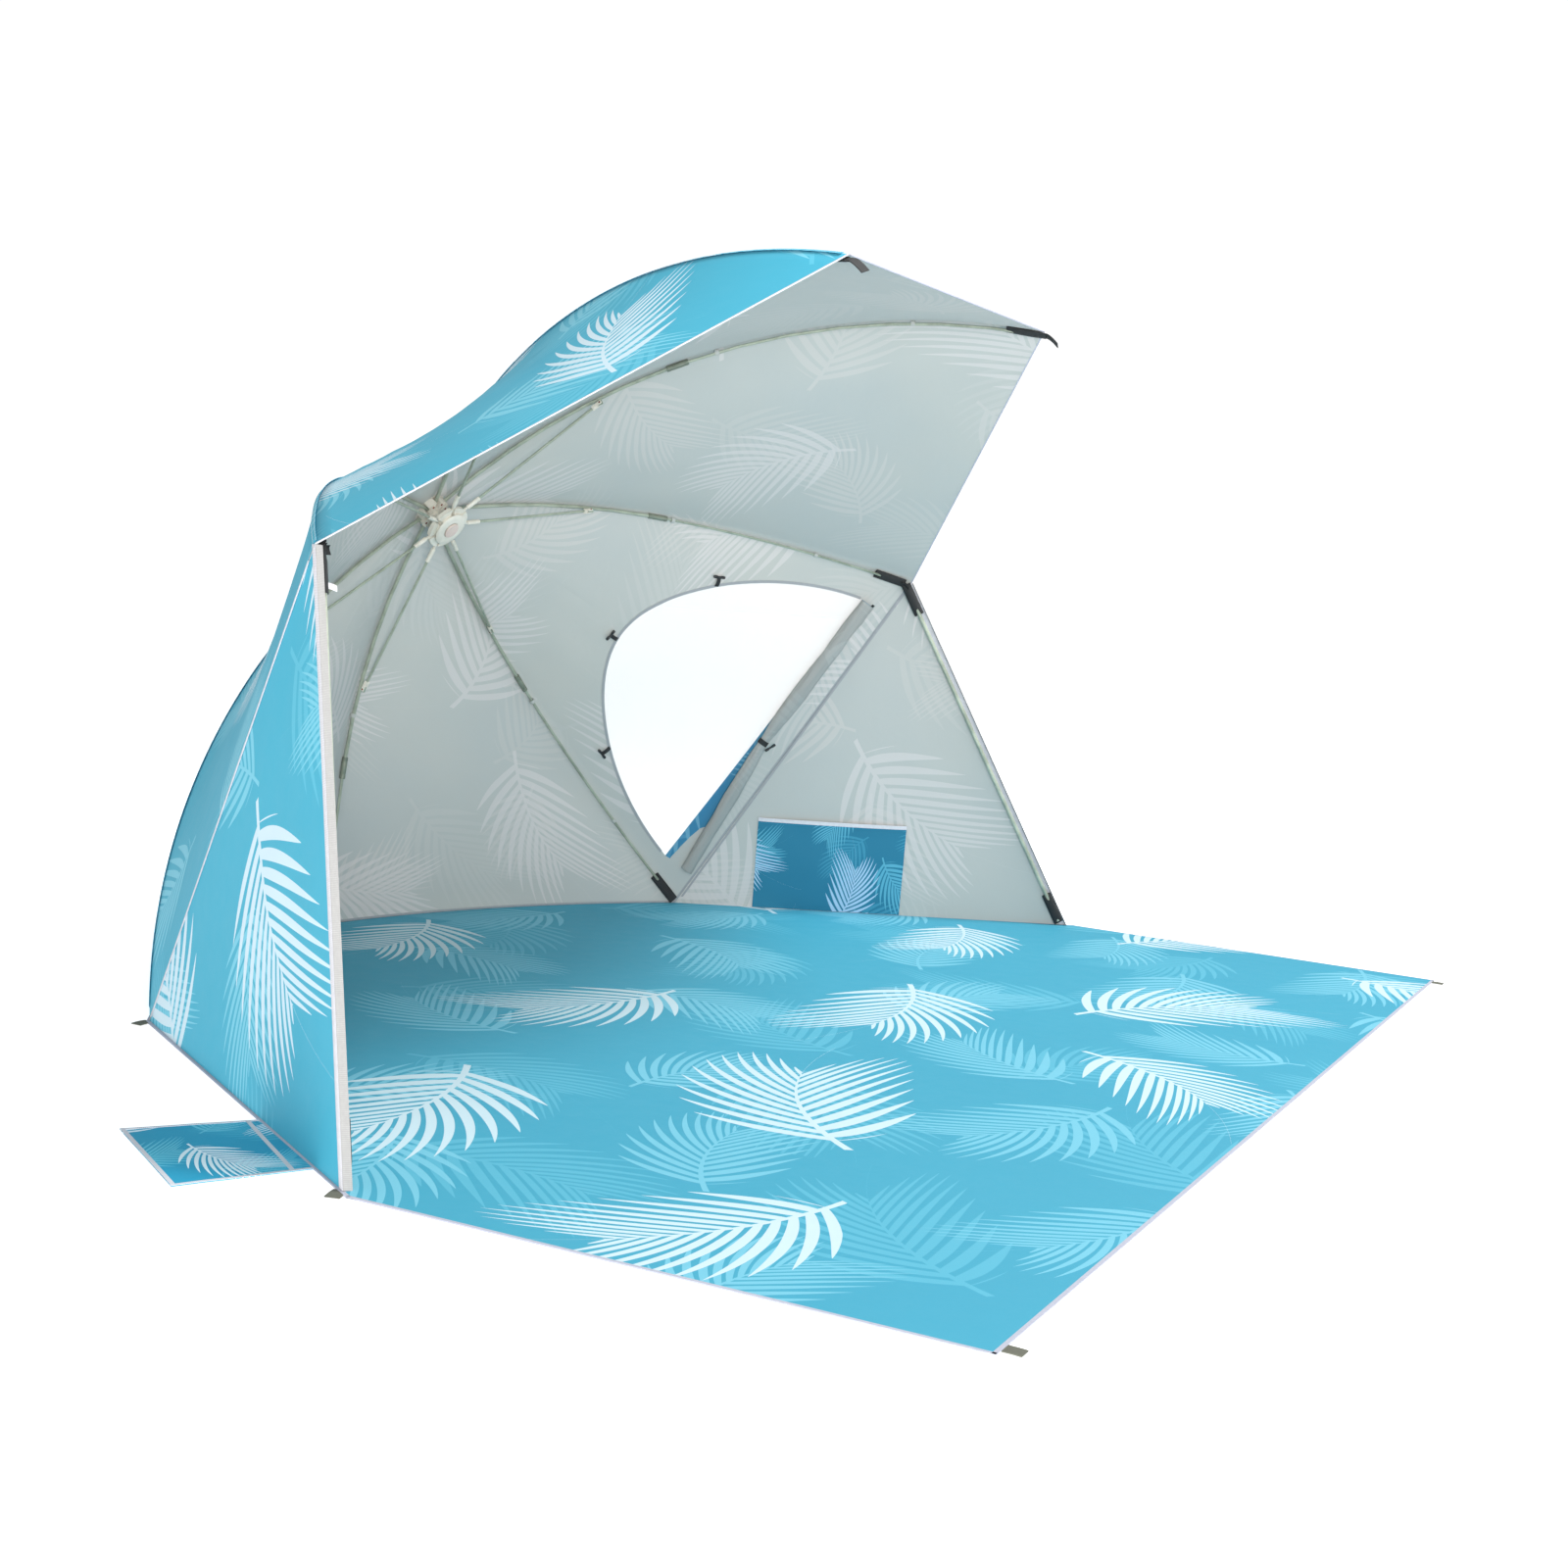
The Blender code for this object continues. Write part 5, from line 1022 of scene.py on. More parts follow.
for side, sign in SIDES.items():
    elbow, corner, foot, wall_way = wall_corners(side)
    onward = (foot - corner).normalized()
    outward = Vector((sign, 0, 0))

    def binding(u, v):
        """The folded tape: u from its outer edge round the wall's edge to its inner edge, v down."""
        back, lift = BINDING_PATH[min(round(u * 4), 4)]
        return on_wall(side, 1, v) - onward * (BAND * back) + wall_way * lift

    def lip(u, v):
        """The stiffened lip: u from the wall's edge inwards, v down."""
        deep = LIP_TOP + (LIP_FOOT - LIP_TOP) * v
        return on_wall(side, 1, v) + onward * LIP_AHEAD + wall_way * (CLOTH - deep * u)

    wall = lay(side + "_wall_cloth", (26, 30), lambda u, v: on_wall(side, u, v),
               lambda u, v, middle: Vector(((u - 0.5) * WALL_WIDE * v + 2.1, WALL_LONG * v)), (PRINT, SILVER),
               out=outward)
    edge_tape = lay(side + "_wall_front_tape", (4, 40), binding,
                    lambda u, v, middle: Vector((u * BAND_ROUND, v * FRONT_LONG)), (WHITE_TAPE,),
                    thick=0.0005)
    lip_tape = lay(side + "_wall_front_lip", (6, 40), lip,
                   lambda u, v, middle: Vector((u * LIP_ROUND, v * FRONT_LONG)), (LIP_TAPE,), thick=0.0008,
                   out=onward)
    piping = tape(side + "_wall_piping",
                  lambda v: (on_wall(side, PIPING_AT, 0.03 + 0.96 * v, CLOTH + PIPING_LIFT),
                             onward, wall_way), PIPING_WIDE, outward, WHITE_TAPE, thick=0.0012)
    seam_tape = tape(side + "_wall_seam_tape",
                     lambda v: (on_wall(side, SEAM_AT, 0.03 + 0.95 * v, -SEAM_SINK), onward, wall_way),
                     SEAM_WIDE, -outward, SEAM_TAPE, thick=0.0008)
    for piece in (wall, edge_tape, lip_tape, piping, seam_tape):
        with_pole(piece, side, "print_cloth")
    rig.replaces(wall, side + "_wall")


# Storage pocket: a patch of the print on the right wall, darker with painted shade, sewn on three
# sides with a light tape along its open top, so it bellies a little.
POCKET_FROM, POCKET_TO, POCKET_HEIGHT = 0.356, 0.677, 0.198
POCKET_BELLY, POCKET_RIPPLE, POCKET_UP, POCKET_OFF = 0.007, 0.0016, 0.001, 0.0012
POCKET_WIDE = POCKET_TO - POCKET_FROM
POCKET_TAPE_AT, POCKET_TAPE_WIDE = 0.985, 0.008
wall_out = wall_corners("right")[3]


def on_pocket(u, v, lift=0.0):
    """A point on the pocket: u along the wall's foot from the front, v up from the floor."""
    foot = Vector(WALL_FOOT)
    along = (Vector(WALL_CORNER) - foot).normalized()
    up = along.cross(wall_out).normalized()
    up = up if up.z > 0 else -up
    belly = POCKET_BELLY * (4 * u * (1 - u)) ** 0.6 * min(1, 1.6 * v) ** 0.7
    ripple = POCKET_RIPPLE * noise.noise(Vector((u * 5, v * 3, 7.7))) * 4 * u * (1 - u)
    return (foot + along * (POCKET_FROM + POCKET_WIDE * u) + up * (POCKET_UP + POCKET_HEIGHT * v)
            - wall_out * (POCKET_OFF + belly + ripple + lift))


# A darker copy of the same print: painted shade for the pocket inside the wall. Its fronds are smaller and stand out
# more.
POCKET_PRINT_PAINTED_SHADE = printed("printed_polyester_pocket_painted_shade", ("267492", "2B7C99"), ("3E91AD", "5AABC4", "AACBE4"),
                       scale=2.2, turn=1.3)
pocket = lay("storage_pocket_cloth", (26, 18), on_pocket,
             lambda u, v, middle: Vector((u * POCKET_WIDE + 3.3, v * POCKET_HEIGHT + 1.2)),
             (POCKET_PRINT_PAINTED_SHADE, SILVER), out=-wall_out)
pocket_tape = tape("storage_pocket_tape",
                   lambda u: (on_pocket(u, POCKET_TAPE_AT, CLOTH), Vector((0, 0.05, 1)).normalized(),
                              -wall_out),
                   POCKET_TAPE_WIDE, -wall_out, WHITE_TAPE, thick=0.0008)
# The pocket shares the sand flaps' slot, but its darker colour is painted shade.
with_pole(pocket, "right", "deep_cloth")
with_pole(pocket_tape, "right", "deep_cloth")
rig.replaces(pocket, "storage_pocket")


# Floor: one sheet under the tent and its apron in front, which folds up along a seam. The
# print is on top, and a light tape binds the edges.
UP = Vector((0, 0, 1))
FRONT_X, FRONT_Y = 1.231, -0.475
APRON_X, APRON_Y = 1.213, -1.247
FLOOR_TOP = 0.0020
HEM_MARGIN, HEM_BACK = 0.005, 0.025


def floor_back(u):
    """The floor's back edge on the ground, from the left back corner round to the right one."""
    first, second = ("left_corner", "back") if u < 0.5 else ("back", "right_corner")
    place = gore_point(first, second, 2 * u if u < 0.5 else 2 * u - 1, 1)
    level = Vector((place.x, place.y + HEM_BACK, 0)).normalized()
    return Vector((place.x, place.y, 0)) + level * HEM_MARGIN


def floor_place(u, v):
    front = Vector(((2 * u - 1) * FRONT_X, FRONT_Y, 0))
    return floor_back(u).lerp(front, v) + UP * (FLOOR_TOP - CLOTH)


def apron_place(u, v):
    back, front = (Vector(((2 * u - 1) * x, y, 0)) for x, y in ((FRONT_X, FRONT_Y), (APRON_X, APRON_Y)))
    return back.lerp(front, v) + UP * (FLOOR_TOP - CLOTH)


# The floor's print is a little flatter and darker, on a thicker cloth. Below it has a grey
# coat of polyethylene, smooth with a close weave that shows through.
FLOOR_PRINT = printed("printed_polyester_floor", ("3799B5", "3D9FBA"), ("51ABC4", "6DBAD0", "C0D8E1"),
                      scale=0.9, turn=0.4)
GROUNDSHEET = woven("coated_groundsheet", "8FA0A4", "9DACAF", rib=0.0016, roughness=0.55)
floor_cloth = lay("floor_cloth", (48, 24), floor_place, lambda u, v, middle: floor_place(u, v).to_2d(),
                  (FLOOR_PRINT, GROUNDSHEET), out=UP)
fit(floor_cloth, "canopy", "print_cloth", "floor_sheet")
apron_cloth = lay("apron_cloth", (40, 16), apron_place, lambda u, v, middle: apron_place(u, v).to_2d(),
                  (FLOOR_PRINT, GROUNDSHEET), out=UP)
fit(apron_cloth, "apron", "print_cloth", "apron")


# Sand flaps: a strip of the deeper print on each side, sewn to the floor's edge outside the
# wall and weighed down with sand. Tape binds three sides and crosses it near the seam.
SAND_FROM, SAND_TO, SAND_REACH, SAND_FLARE = 0.630, 0.875, 0.168, 0.012
SAND_OFF, SAND_RIPPLE = 0.0003, 0.0010
EDGE_TAPE = 0.0055
SAND_EDGES = (("back", lambda t: (0.013, t)), ("front", lambda t: (0.987, t)),
              ("outer", lambda t: (t, 0.982)), ("seam", lambda t: (t, 0.085 + 0.065 * t)))

# The deepest dye of the print, almost turquoise, on the same cloth.
SAND_PRINT = printed("printed_polyester_sand_flap", ("0F93B8", "149BBF"), ("37AAC8", "5ABDD5", "D8ECF4"),
                     scale=2.6, turn=2.0)


def on_sand_flap(side, u, v):
    """A point on a sand flap: u along the floor's edge from the back, v out from it."""
    sign = SIDES[side]
    corner, foot = floor_back(0 if side == "left" else 1), Vector((sign * FRONT_X, FRONT_Y, 0))
    along = (foot - corner).normalized()
    out = Vector((along.y, -along.x, 0))
    out = out if out.x * sign > 0 else -out
    flare = SAND_FLARE * v * (2 * u - 1)
    ripple = SAND_RIPPLE * noise.noise(Vector((u * 4 + sign, v * 3, 2.2))) * 4 * v * (1 - v)
    return (corner.lerp(foot, SAND_FROM + (SAND_TO - SAND_FROM) * u) + along * flare
            + out * (SAND_OFF + SAND_REACH * v) + UP * (FLOOR_TOP - CLOTH + max(0, ripple)))


for side in SIDES:
    flap_cloth = lay(side + "_sand_flap_cloth", (16, 14), lambda u, v: on_sand_flap(side, u, v),
                     lambda u, v, middle: Vector((u * 0.2 + 0.9, v * SAND_REACH + 0.3)),
                     (SAND_PRINT, GROUNDSHEET), out=UP)
    fit(flap_cloth, side + "_sand_flap", "deep_cloth", side + "_sand_flap")
    for label, line in SAND_EDGES:
        def edge_line(t):
            here, there = (on_sand_flap(side, *line(max(0, min(1, t + e)))) for e in (-0.02, 0.02))
            onward = (there - here).normalized()
            return on_sand_flap(side, *line(t)) + UP * CLOTH, onward.cross(UP), None

        edge = tape(side + "_sand_flap_tape_" + label, edge_line, EDGE_TAPE, UP, WHITE_TAPE, steps=12,
                    thick=0.0005)
        fit(edge, side + "_sand_flap", "deep_cloth")


# Hem tapes: a narrow binding folded over the canopy's free edges, white on the left and lilac-grey
# on the right and front as painted shade, and a wider grey seam tape inside where it is sewn to a wall or down to the
# floor.
FREE_HEM, SEWN_HEM, HEM_THICK = 0.0024, 0.0050, 0.0004
HEM_PATH = ((1, -0.0005), (0, -0.0005), (-0.07, CLOTH / 2), (0, CLOTH + 0.0005), (1, CLOTH + 0.0005))
GROUND_TAPE_THICK, TAPE_SHIFT, TAPE_SINK = 0.0017, 0.002, 0.0008


def hem_place(first, second, low, high, width):
    """The folded tape on a gore's hem: u along it between two shares, v round the cloth's edge."""
    def place(u, v):
        k = min(int(v * 4), 3)
        (in_a, lift_a), (in_b, lift_b) = HEM_PATH[k], HEM_PATH[k + 1]
        part = v * 4 - k
        inward, lift = in_a + (in_b - in_a) * part, lift_a + (lift_b - lift_a) * part
        across = low + (high - low) * u
        edge, near = (gore_point(first, second, across, down) for down in (1, 0.98))
        out = gore_out(first, second, across, 0.99)
        wide = width if lift < CLOTH / 2 else FREE_HEM
        return edge + (near - edge).normalized() * (wide * inward) + out * lift
    return place


def hem_cut(u, v, middle):
    return Vector(((v - 0.5) * 0.012, u * 0.4))


for first in ORDER:
    second = after(first)
    width, finish = SEWN_HEM, SEAM_TAPE
    if "brow" in first + second:
        # Free hems on the right and across the front take the lilac-grey tape: painted shade on the white binding.
        width, finish = FREE_HEM, GROUND_TAPE if first.startswith("right") else WHITE_TAPE
    for rib, low, high in ((first, 0, 0.5), (second, 0.5, 1)):
        hem = lay("canopy_hem_%s_%s" % (first, rib), (20, 8), hem_place(first, second, low, high, width),
                  hem_cut, (finish,), thick=HEM_THICK)
        follow(hem, rib, GATHER, "print_cloth")


def ground_tape(name, line, body):
    """A tape round an edge of the floor or the apron, as a thick strip that holds the edge."""
    made = tape(name, line, EDGE_TAPE, UP, GROUND_TAPE, steps=48, thick=GROUND_TAPE_THICK)
    made.modifiers["thickness"].offset = 0
    fit(made, body, "print_cloth")


def edge_of(point, shift):
    """A line along an edge of a ground sheet, set in by a shift towards the sheet."""
    def line(u):
        here, there = point(max(u - 0.01, 0)), point(min(u + 0.01, 1))
        across = (there - here).normalized().cross(UP)
        place = point(u)
        return Vector((place.x, place.y, FLOOR_TOP - TAPE_SINK)) + across * shift, across, None
    return line


ground_tape("floor_tape_back", edge_of(floor_back, TAPE_SHIFT), "canopy")
for (side, sign), u in zip(SIDES.items(), (0, 1)):
    ground_tape("floor_tape_" + side, edge_of(lambda t: floor_place(u, t), sign * TAPE_SHIFT), "canopy")
    ground_tape("apron_tape_" + side, edge_of(lambda t: apron_place(u, t), sign * TAPE_SHIFT), "apron")
ground_tape("apron_tape_front", edge_of(lambda t: apron_place(t, 1), -TAPE_SHIFT), "apron")


# Rib seams: the gores are felled together over each rib, a narrow raised band outside with
# a row of stitches along each side.
SEAM_BAND, SEAM_THICK = 0.008, 0.0005
STITCH_OFF, STITCH_HALF = 0.0028, 0.0004        # from the seam's middle, and the thread's half width
STITCH_STEP, STITCH_LONG = 0.0036, 0.0026


def seam_finish():
    """The printed cloth again, with light polyester thread in rows of lock stitches."""
    made = PRINT.copy()
    made.name = "felled_seam"
    tree = made.node_tree
    shader = tree.nodes["Principled BSDF"]
    cut = add(tree, "UVMap", uv_map="seam")
    flat = add(tree, "SeparateXYZ", {0: cut.outputs[0]})
    side = add(tree, "Math", {0: flat.outputs["X"]}, operation="ABSOLUTE")
    row = add(tree, "Math", {0: side.outputs[0], 1: STITCH_OFF, 2: STITCH_HALF}, operation="COMPARE")
    beat = add(tree, "Math", {0: flat.outputs["Y"], 1: STITCH_STEP}, operation="MODULO")
    thread = add(tree, "Math", {0: beat.outputs[0], 1: STITCH_LONG}, operation="LESS_THAN")
    stitch = add(tree, "Math", {0: row.outputs[0], 1: thread.outputs[0]}, operation="MULTIPLY")
    colour = shader.inputs["Base Color"].links[0].from_socket
    mixed = add(tree, "Mix", {"Factor": stitch.outputs[0], "A": colour, "B": linear("E9F3F6")},
                data_type="RGBA")
    tree.links.new(mixed.outputs["Result"], shader.inputs["Base Color"])
    return made


FELLED = seam_finish()
for rib in ORDER:
    side_way = across_rib(rib)

    def seam_line(u):
        place, out = over_rib(rib, 0.03 + 0.96 * u, CLOTH_OFFSET + CLOTH + TAPE_LIFT)
        return place, side_way, out

    seam = tape("canopy_seam_" + rib, seam_line, SEAM_BAND, ridge(rib, 0.5)[1], FELLED, steps=48,
                thick=SEAM_THICK)
    seam_uv = seam.data.uv_layers.new(name="seam")
    for loop, source in zip(seam_uv.data, seam.data.uv_layers["cut"].data):
        loop.uv = source.uv
    follow(seam, rib, 1.0, "print_cloth")


# Webbing pockets: flat sleeves of black webbing, sewn shut at the end, that take the ends
# of the ribs and poles. The open mouth is notched where the rod runs in.
SLEEVE_LONG, SLEEVE_HALF, SLEEVE_ROUND, SLEEVE_WALL = 0.070, 0.0092, 0.040, 0.0009
NOTCH_DEEP, NOTCH_HALF = 0.013, 0.0042
RIB_ROD, POLE_ROD = 0.0027, 0.0042      # radii of the rods in the sleeves
TAB_WIDE, TAB_LONG, TAB_DROP = 0.017, 0.024, 0.014
TIP_BACK, TIP_PAST = 0.002, 0.004       # a sleeve's closed end, from the end of its rod


def sleeve_place(place, rod_radius):
    """A sleeve in a frame whose X runs back along the rod from the closed end, and Z out to the cloth."""
    def sleeve(u, v):
        turn = 2 * pi * u
        across = SLEEVE_HALF * cos(turn)
        open_up = min(1, v * 3.0) ** 0.8
        height = (SLEEVE_WALL + rod_radius * open_up) * max(0, 1 - abs(cos(turn)) ** 2.6)
        height = height * (1 if sin(turn) >= 0 else -1)
        notch = NOTCH_DEEP * max(0, 1 - (across / NOTCH_HALF) ** 4) if sin(turn) < 0 else 0
        return place @ Vector((v * (SLEEVE_LONG - notch), across, height))
    return sleeve


def webbing_pocket(name, place, rod_radius, body, node):
    made = lay(name, (36, 20), sleeve_place(place, rod_radius),
               lambda u, v, middle: Vector((u * SLEEVE_ROUND, v * SLEEVE_LONG)), (BLACK_WEBBING,),
               thick=SLEEVE_WALL)
    fit(made, body, "webbing", node)


for rib in ORDER:
    point, way, out = on_rib(rib, 1)
    tip = point + way * (-TIP_BACK if rib.endswith("elbow") else TIP_PAST)
    webbing_pocket(rib + "_webbing_pocket", facing(tip, -way, out), RIB_ROD, rib + "_rib",
                   rib + "_rib_pocket")
    if rib.endswith("brow"):
        tab = tape(rib + "_brow_tab",
                   lambda u: (tip + way * (TAB_LONG * u) - out * (TAB_DROP * u ** 1.5), across_rib(rib), out),
                   TAB_WIDE, out, BLACK_WEBBING, steps=10, thick=0.0016)
        fit(tab, rib + "_rib", "webbing")


# Elbows: the rib's sleeve and the pole's meet end to end, and a folded patch of the same
# webbing, sewn over both ends, is the soft hinge that the pole swings on.
POLE_TOP, POLE_FOOT = (0.930, -0.145, 0.721), (1.200, -0.450, 0.012)
PATCH_WIDE, PATCH_HALF, PATCH_APART = 0.0178, 0.011, 0.0042
PATCH_LIFT, PATCH_BOW = 0.0012, 0.004
for side, sign in SIDES.items():
    tip, way, rib_out = on_rib(side + "_elbow", 1)
    back = -way
    top, foot = (Vector((sign * x, y, z)) for x, y, z in (POLE_TOP, POLE_FOOT))
    down = (foot - top).normalized()
    level = wall_corners(side)[3]
    out = (level - down * level.dot(down)).normalized()
    for end, place in (("top", facing(top + down * TIP_BACK, down, out)),
                       ("foot", facing(foot + down * TIP_PAST, -down, out))):
        webbing_pocket(side + "_pole_%s_webbing" % end, place, POLE_ROD, side + "_pole",
                       side + "_pole_%s_pocket" % end)
    knuckle = (rib_out + out).normalized()

    def bend(u, lift=PATCH_LIFT):
        """The patch's middle line: from on the rib's sleeve, over the elbow, onto the pole's."""
        first, last = top + back * PATCH_HALF, top + down * PATCH_HALF
        place = first * (1 - u) ** 2 + (top + knuckle * PATCH_BOW) * (2 * u * (1 - u)) + last * u * u
        return place + knuckle * lift, back.cross(down).normalized(), knuckle

    patch = tape(side + "_elbow_patch", bend, PATCH_WIDE, knuckle, BLACK_WEBBING, steps=14, thick=0.0013)
    inner = tape(side + "_elbow_patch_inside", lambda u: bend(u, PATCH_LIFT - PATCH_APART), PATCH_WIDE,
                 -knuckle, BLACK_WEBBING, steps=14, thick=0.0012)
    fit(patch, side + "_elbow_rib", "webbing")
    fit(inner, side + "_elbow_rib", "webbing")


# Tag: a blank care label sewn into the left pole's top sleeve, standing inwards.
TAG_LONG, TAG_WIDE, TAG_DOWN, TAG_IN, TAG_DROOP = 0.014, 0.009, 0.056, 0.0045, 0.003
# Woven satin ribbon: white and smooth, with the soft sheen of its close threads.
LABEL_TAPE = woven("white_label_satin", "E2DFE6", "F2F0F5", rib=0.0012, roughness=0.45)
left_top, left_foot = (Vector((-x, y, z)) for x, y, z in (POLE_TOP, POLE_FOOT))
tag_down = (left_foot - left_top).normalized()
tag_in = -wall_corners("left")[3]
tag_up = tag_in.cross(tag_down)
tag_start = left_top + tag_down * TAG_DOWN + tag_in * TAG_IN
tag = tape("left_pole_tag",
           lambda u: (tag_start + tag_in * (TAG_LONG * u) + tag_down * (TAG_DROOP * u * u), tag_down, tag_up),
           TAG_WIDE, tag_up, LABEL_TAPE, steps=8, thick=0.0005)
fit(tag, "left_pole", "webbing")


# Peg tabs: short folded loops of olive webbing at the corners, sewn under the floor's tape.
# Polyester webbing again, in a dull olive.
PEG_LONG, PEG_UNDER, PEG_WIDE, PEG_THICK, PEG_SHIFT = 0.028, 0.006, 0.019, 0.0011, 0.022
PEG_LIFT, PEG_BOW = 0.0002, 0.0005
OLIVE = woven("olive_polyester_webbing", "55574C", "7B7D6E", rib=0.0020, roughness=0.8)
left_front = Vector((-FRONT_X, FRONT_Y, 0))
left_way = (floor_back(0) - left_front).normalized()
for name, corner, way, body in (
        ("left_foot", left_front + left_way * PEG_SHIFT, (-1, -0.3, 0), "canopy"),
        ("left_back", floor_back(0), (-1, 0, 0), "canopy"),
        ("right_back", floor_back(1), (1, 0, 0), "canopy"),
        ("left_front", Vector((-APRON_X + PEG_SHIFT, APRON_Y, 0)), (0, -1, 0), "apron"),
        ("right_front", Vector((APRON_X - PEG_SHIFT, APRON_Y, 0)), (0, -1, 0), "apron")):
    way = Vector(way).normalized()
    tab = tape("peg_tab_" + name,
               lambda u: (corner + way * (PEG_LONG * u - PEG_UNDER)
                          + UP * (PEG_LIFT + PEG_BOW * sin(pi * u)), way.cross(UP), UP),
               PEG_WIDE, UP, OLIVE, steps=10, thick=PEG_THICK)
    fit(tab, body, "tab_webbing")


# Frame: fibreglass ribs, stretchers and poles with a grey-green coat, crimped ferrules, and
# cream nylon fittings, crown and runner.
WEAR, PEEL = 24.0, 420.0        # to a metre: clouds of about 42 mm, and pits of 2.4 mm


def enamel(name, light, dark, roughness=0.36, metallic=0.15):
    """A smooth hard surface, cloudy between two tones and slightly pitted."""
    made, tree, shader = new_finish(name)
    place = add(tree, "TexCoord").outputs["Object"]
    wear = add(tree, "TexNoise", {"Vector": place, "Scale": WEAR, "Detail": 5.0, "Roughness": 0.65})
    ramp = add(tree, "MapRange", {"Value": wear.outputs["Fac"], "From Min": 0.42, "From Max": 0.62})
    colour = add(tree, "Mix", {"Factor": ramp.outputs[0], "A": linear(light), "B": linear(dark)},
                 data_type="RGBA")
    peel = add(tree, "TexNoise", {"Vector": place, "Scale": PEEL, "Detail": 2.0})
    bump = add(tree, "Bump", {"Height": peel.outputs["Fac"], "Strength": 0.12, "Distance": 0.0002})
    gloss = add(tree, "MapRange", {"Value": peel.outputs["Fac"], "To Min": roughness - 0.06,
                                   "To Max": roughness + 0.08})
    surface(tree, shader, colour.outputs["Result"], bump.outputs[0], gloss.outputs[0])
    shader.inputs["Metallic"].default_value = metallic
    return made


# Pultruded fibreglass under a thin sprayed coat: pale grey-green, half glossy and cloudy.
POLE_COAT = enamel("pale_green_coated_fibreglass", "B3BAA8", "979E8D", metallic=0.05)
ROD_COAT = enamel("grey_green_coated_fibreglass", "A2AA99", "8A9282", metallic=0.05)
# Steel tube crimped over the rod and coated: the same green, darker and a little metallic.
FERRULE_COAT = enamel("coated_crimped_steel", "7F8677", "6A7063", roughness=0.42, metallic=0.2)
# Injection-moulded nylon: waxy cream fittings, and a rose-grey button.
CREAM_NYLON = enamel("cream_moulded_nylon", "E3DDD0", "D5CFC1", roughness=0.44, metallic=0.0)
PINK_NYLON = enamel("rose_grey_moulded_nylon", "DCC7BC", "CFB9AE", roughness=0.42, metallic=0.0)
# Drawn steel wire, zinc plated: bright grey. Rivets, copper plated: small warm dots.
STEEL = enamel("zinc_plated_wire", "A9ABA8", "8E908E", roughness=0.3, metallic=0.9)
RIVET = enamel("copper_plated_rivet", "8A4B3C", "6F3A30", roughness=0.35, metallic=0.8)


def finish_node(node, finish):
    """A carried-over CAD node takes a material on each of its slots."""
    made = nodes[node]
    if not made.data.materials:
        made.data.materials.append(finish)
    for entry in made.material_slots:
        entry.link = "OBJECT"
        entry.material = finish


for node in ("crown", "crown_cap", "runner"):
    finish_node(node, CREAM_NYLON)
finish_node("crown_wire", STEEL)
for rib in ORDER:
    finish_node(rib + "_rib_inner", ROD_COAT)
    finish_node(rib + "_rib_outer", ROD_COAT)
for side in SIDES:
    finish_node(side + "_pole", POLE_COAT)


# Runner face: a cream ring pressed over the runner's slots, with the wide rose button that
# works the latch in its middle. Copper rivets stand between the ribs on the crown.
FACE_DROP, FACE_RISE, FACE_RADIUS = 0.0505, 0.0032, 0.0330
PRESS_RADIUS, PRESS_GAP = 0.0150, 0.0005
RIVET_RING = 0.0225
RING_INNER = PRESS_RADIUS + PRESS_GAP
RING_PROFILE = ((RING_INNER, 0), (RING_INNER, 0.0006 - FACE_RISE), (PRESS_RADIUS + 0.0012, -FACE_RISE),
                (FACE_RADIUS - 0.0080, -FACE_RISE), (FACE_RADIUS - 0.0022, 0.0006 - FACE_RISE),
                (FACE_RADIUS, -0.0008), (FACE_RADIUS, 0), (RING_INNER, 0))
PRESS_PROFILE = ((0, -0.0034), (PRESS_RADIUS, -0.0034), (PRESS_RADIUS, -0.0050),
                 (PRESS_RADIUS - 0.0006, -0.0057), (PRESS_RADIUS - 0.0030, -0.0060), (0.0060, -0.0056),
                 (0, -0.0055))
CROWN_RIVET = ((0, -0.0096), (0.0011, -0.0094), (0.0020, -0.0087), (0.0022, -0.0079), (0, -0.0079))
face_place = facing(CROWN - AXIS * FACE_DROP, Vector((1, 0, 0)), AXIS)
ring = spun("runner_face_ring", RING_PROFILE, face_place, CREAM_NYLON, steps=56)
fit(ring, "runner", "moulded")
press = spun("runner_press_button", PRESS_PROFILE, face_place, PINK_NYLON, steps=48)
fit(press, "latch_button", "button_plastic", "runner_button")
for number, first in enumerate(ORDER):
    ways = [rib_frame(rib).to_3x3() @ Vector((1, 0, 0)) for rib in (first, after(first))]
    between = (ways[0] + ways[1]).normalized()
    rivet = spun("crown_rivet_%d" % number, CROWN_RIVET,
                 facing(CROWN + between * RIVET_RING, between, AXIS), RIVET, steps=12)
    fit(rivet, "canopy", "moulded")


# Stretchers: a thin coated rod from a forked nylon fitting on the rib's lug to a nylon
# sleeve at the runner. A rivet holds the fork.
RIB_JOINT_ARC, LUG_DROP = 0.364, 0.0085
RUNNER_RADIUS, RUNNER_DROP = 0.038, 0.042
FORK_BEVEL = 0.0009
FORK_RIVET = ((0, 0.0046), (0.0012, 0.0045), (0.0019, 0.0040), (0.0019, -0.0040), (0.0012, -0.0045),
              (0, -0.0046))


def stretcher_profiles(length):
    """The rod's profile and the sleeve's, from the fork's pin to the runner's."""
    rod = ((0, length - 0.014), (0.0018, length - 0.014), (0.0025, length - 0.016), (0.0025, 0.018),
           (0.0017, 0.016), (0.0017, 0.012), (0, 0.012))
    sleeve = ((0, 0.0115), (0.0032, 0.0115), (0.0041, 0.0125), (0.0043, 0.030), (0.0038, 0.0315),
              (0.0038, 0.034), (0.0042, 0.035), (0.0040, 0.039), (0.0030, 0.040), (0, 0.040))
    return rod, tuple((radius, length - back) for radius, back in sleeve)


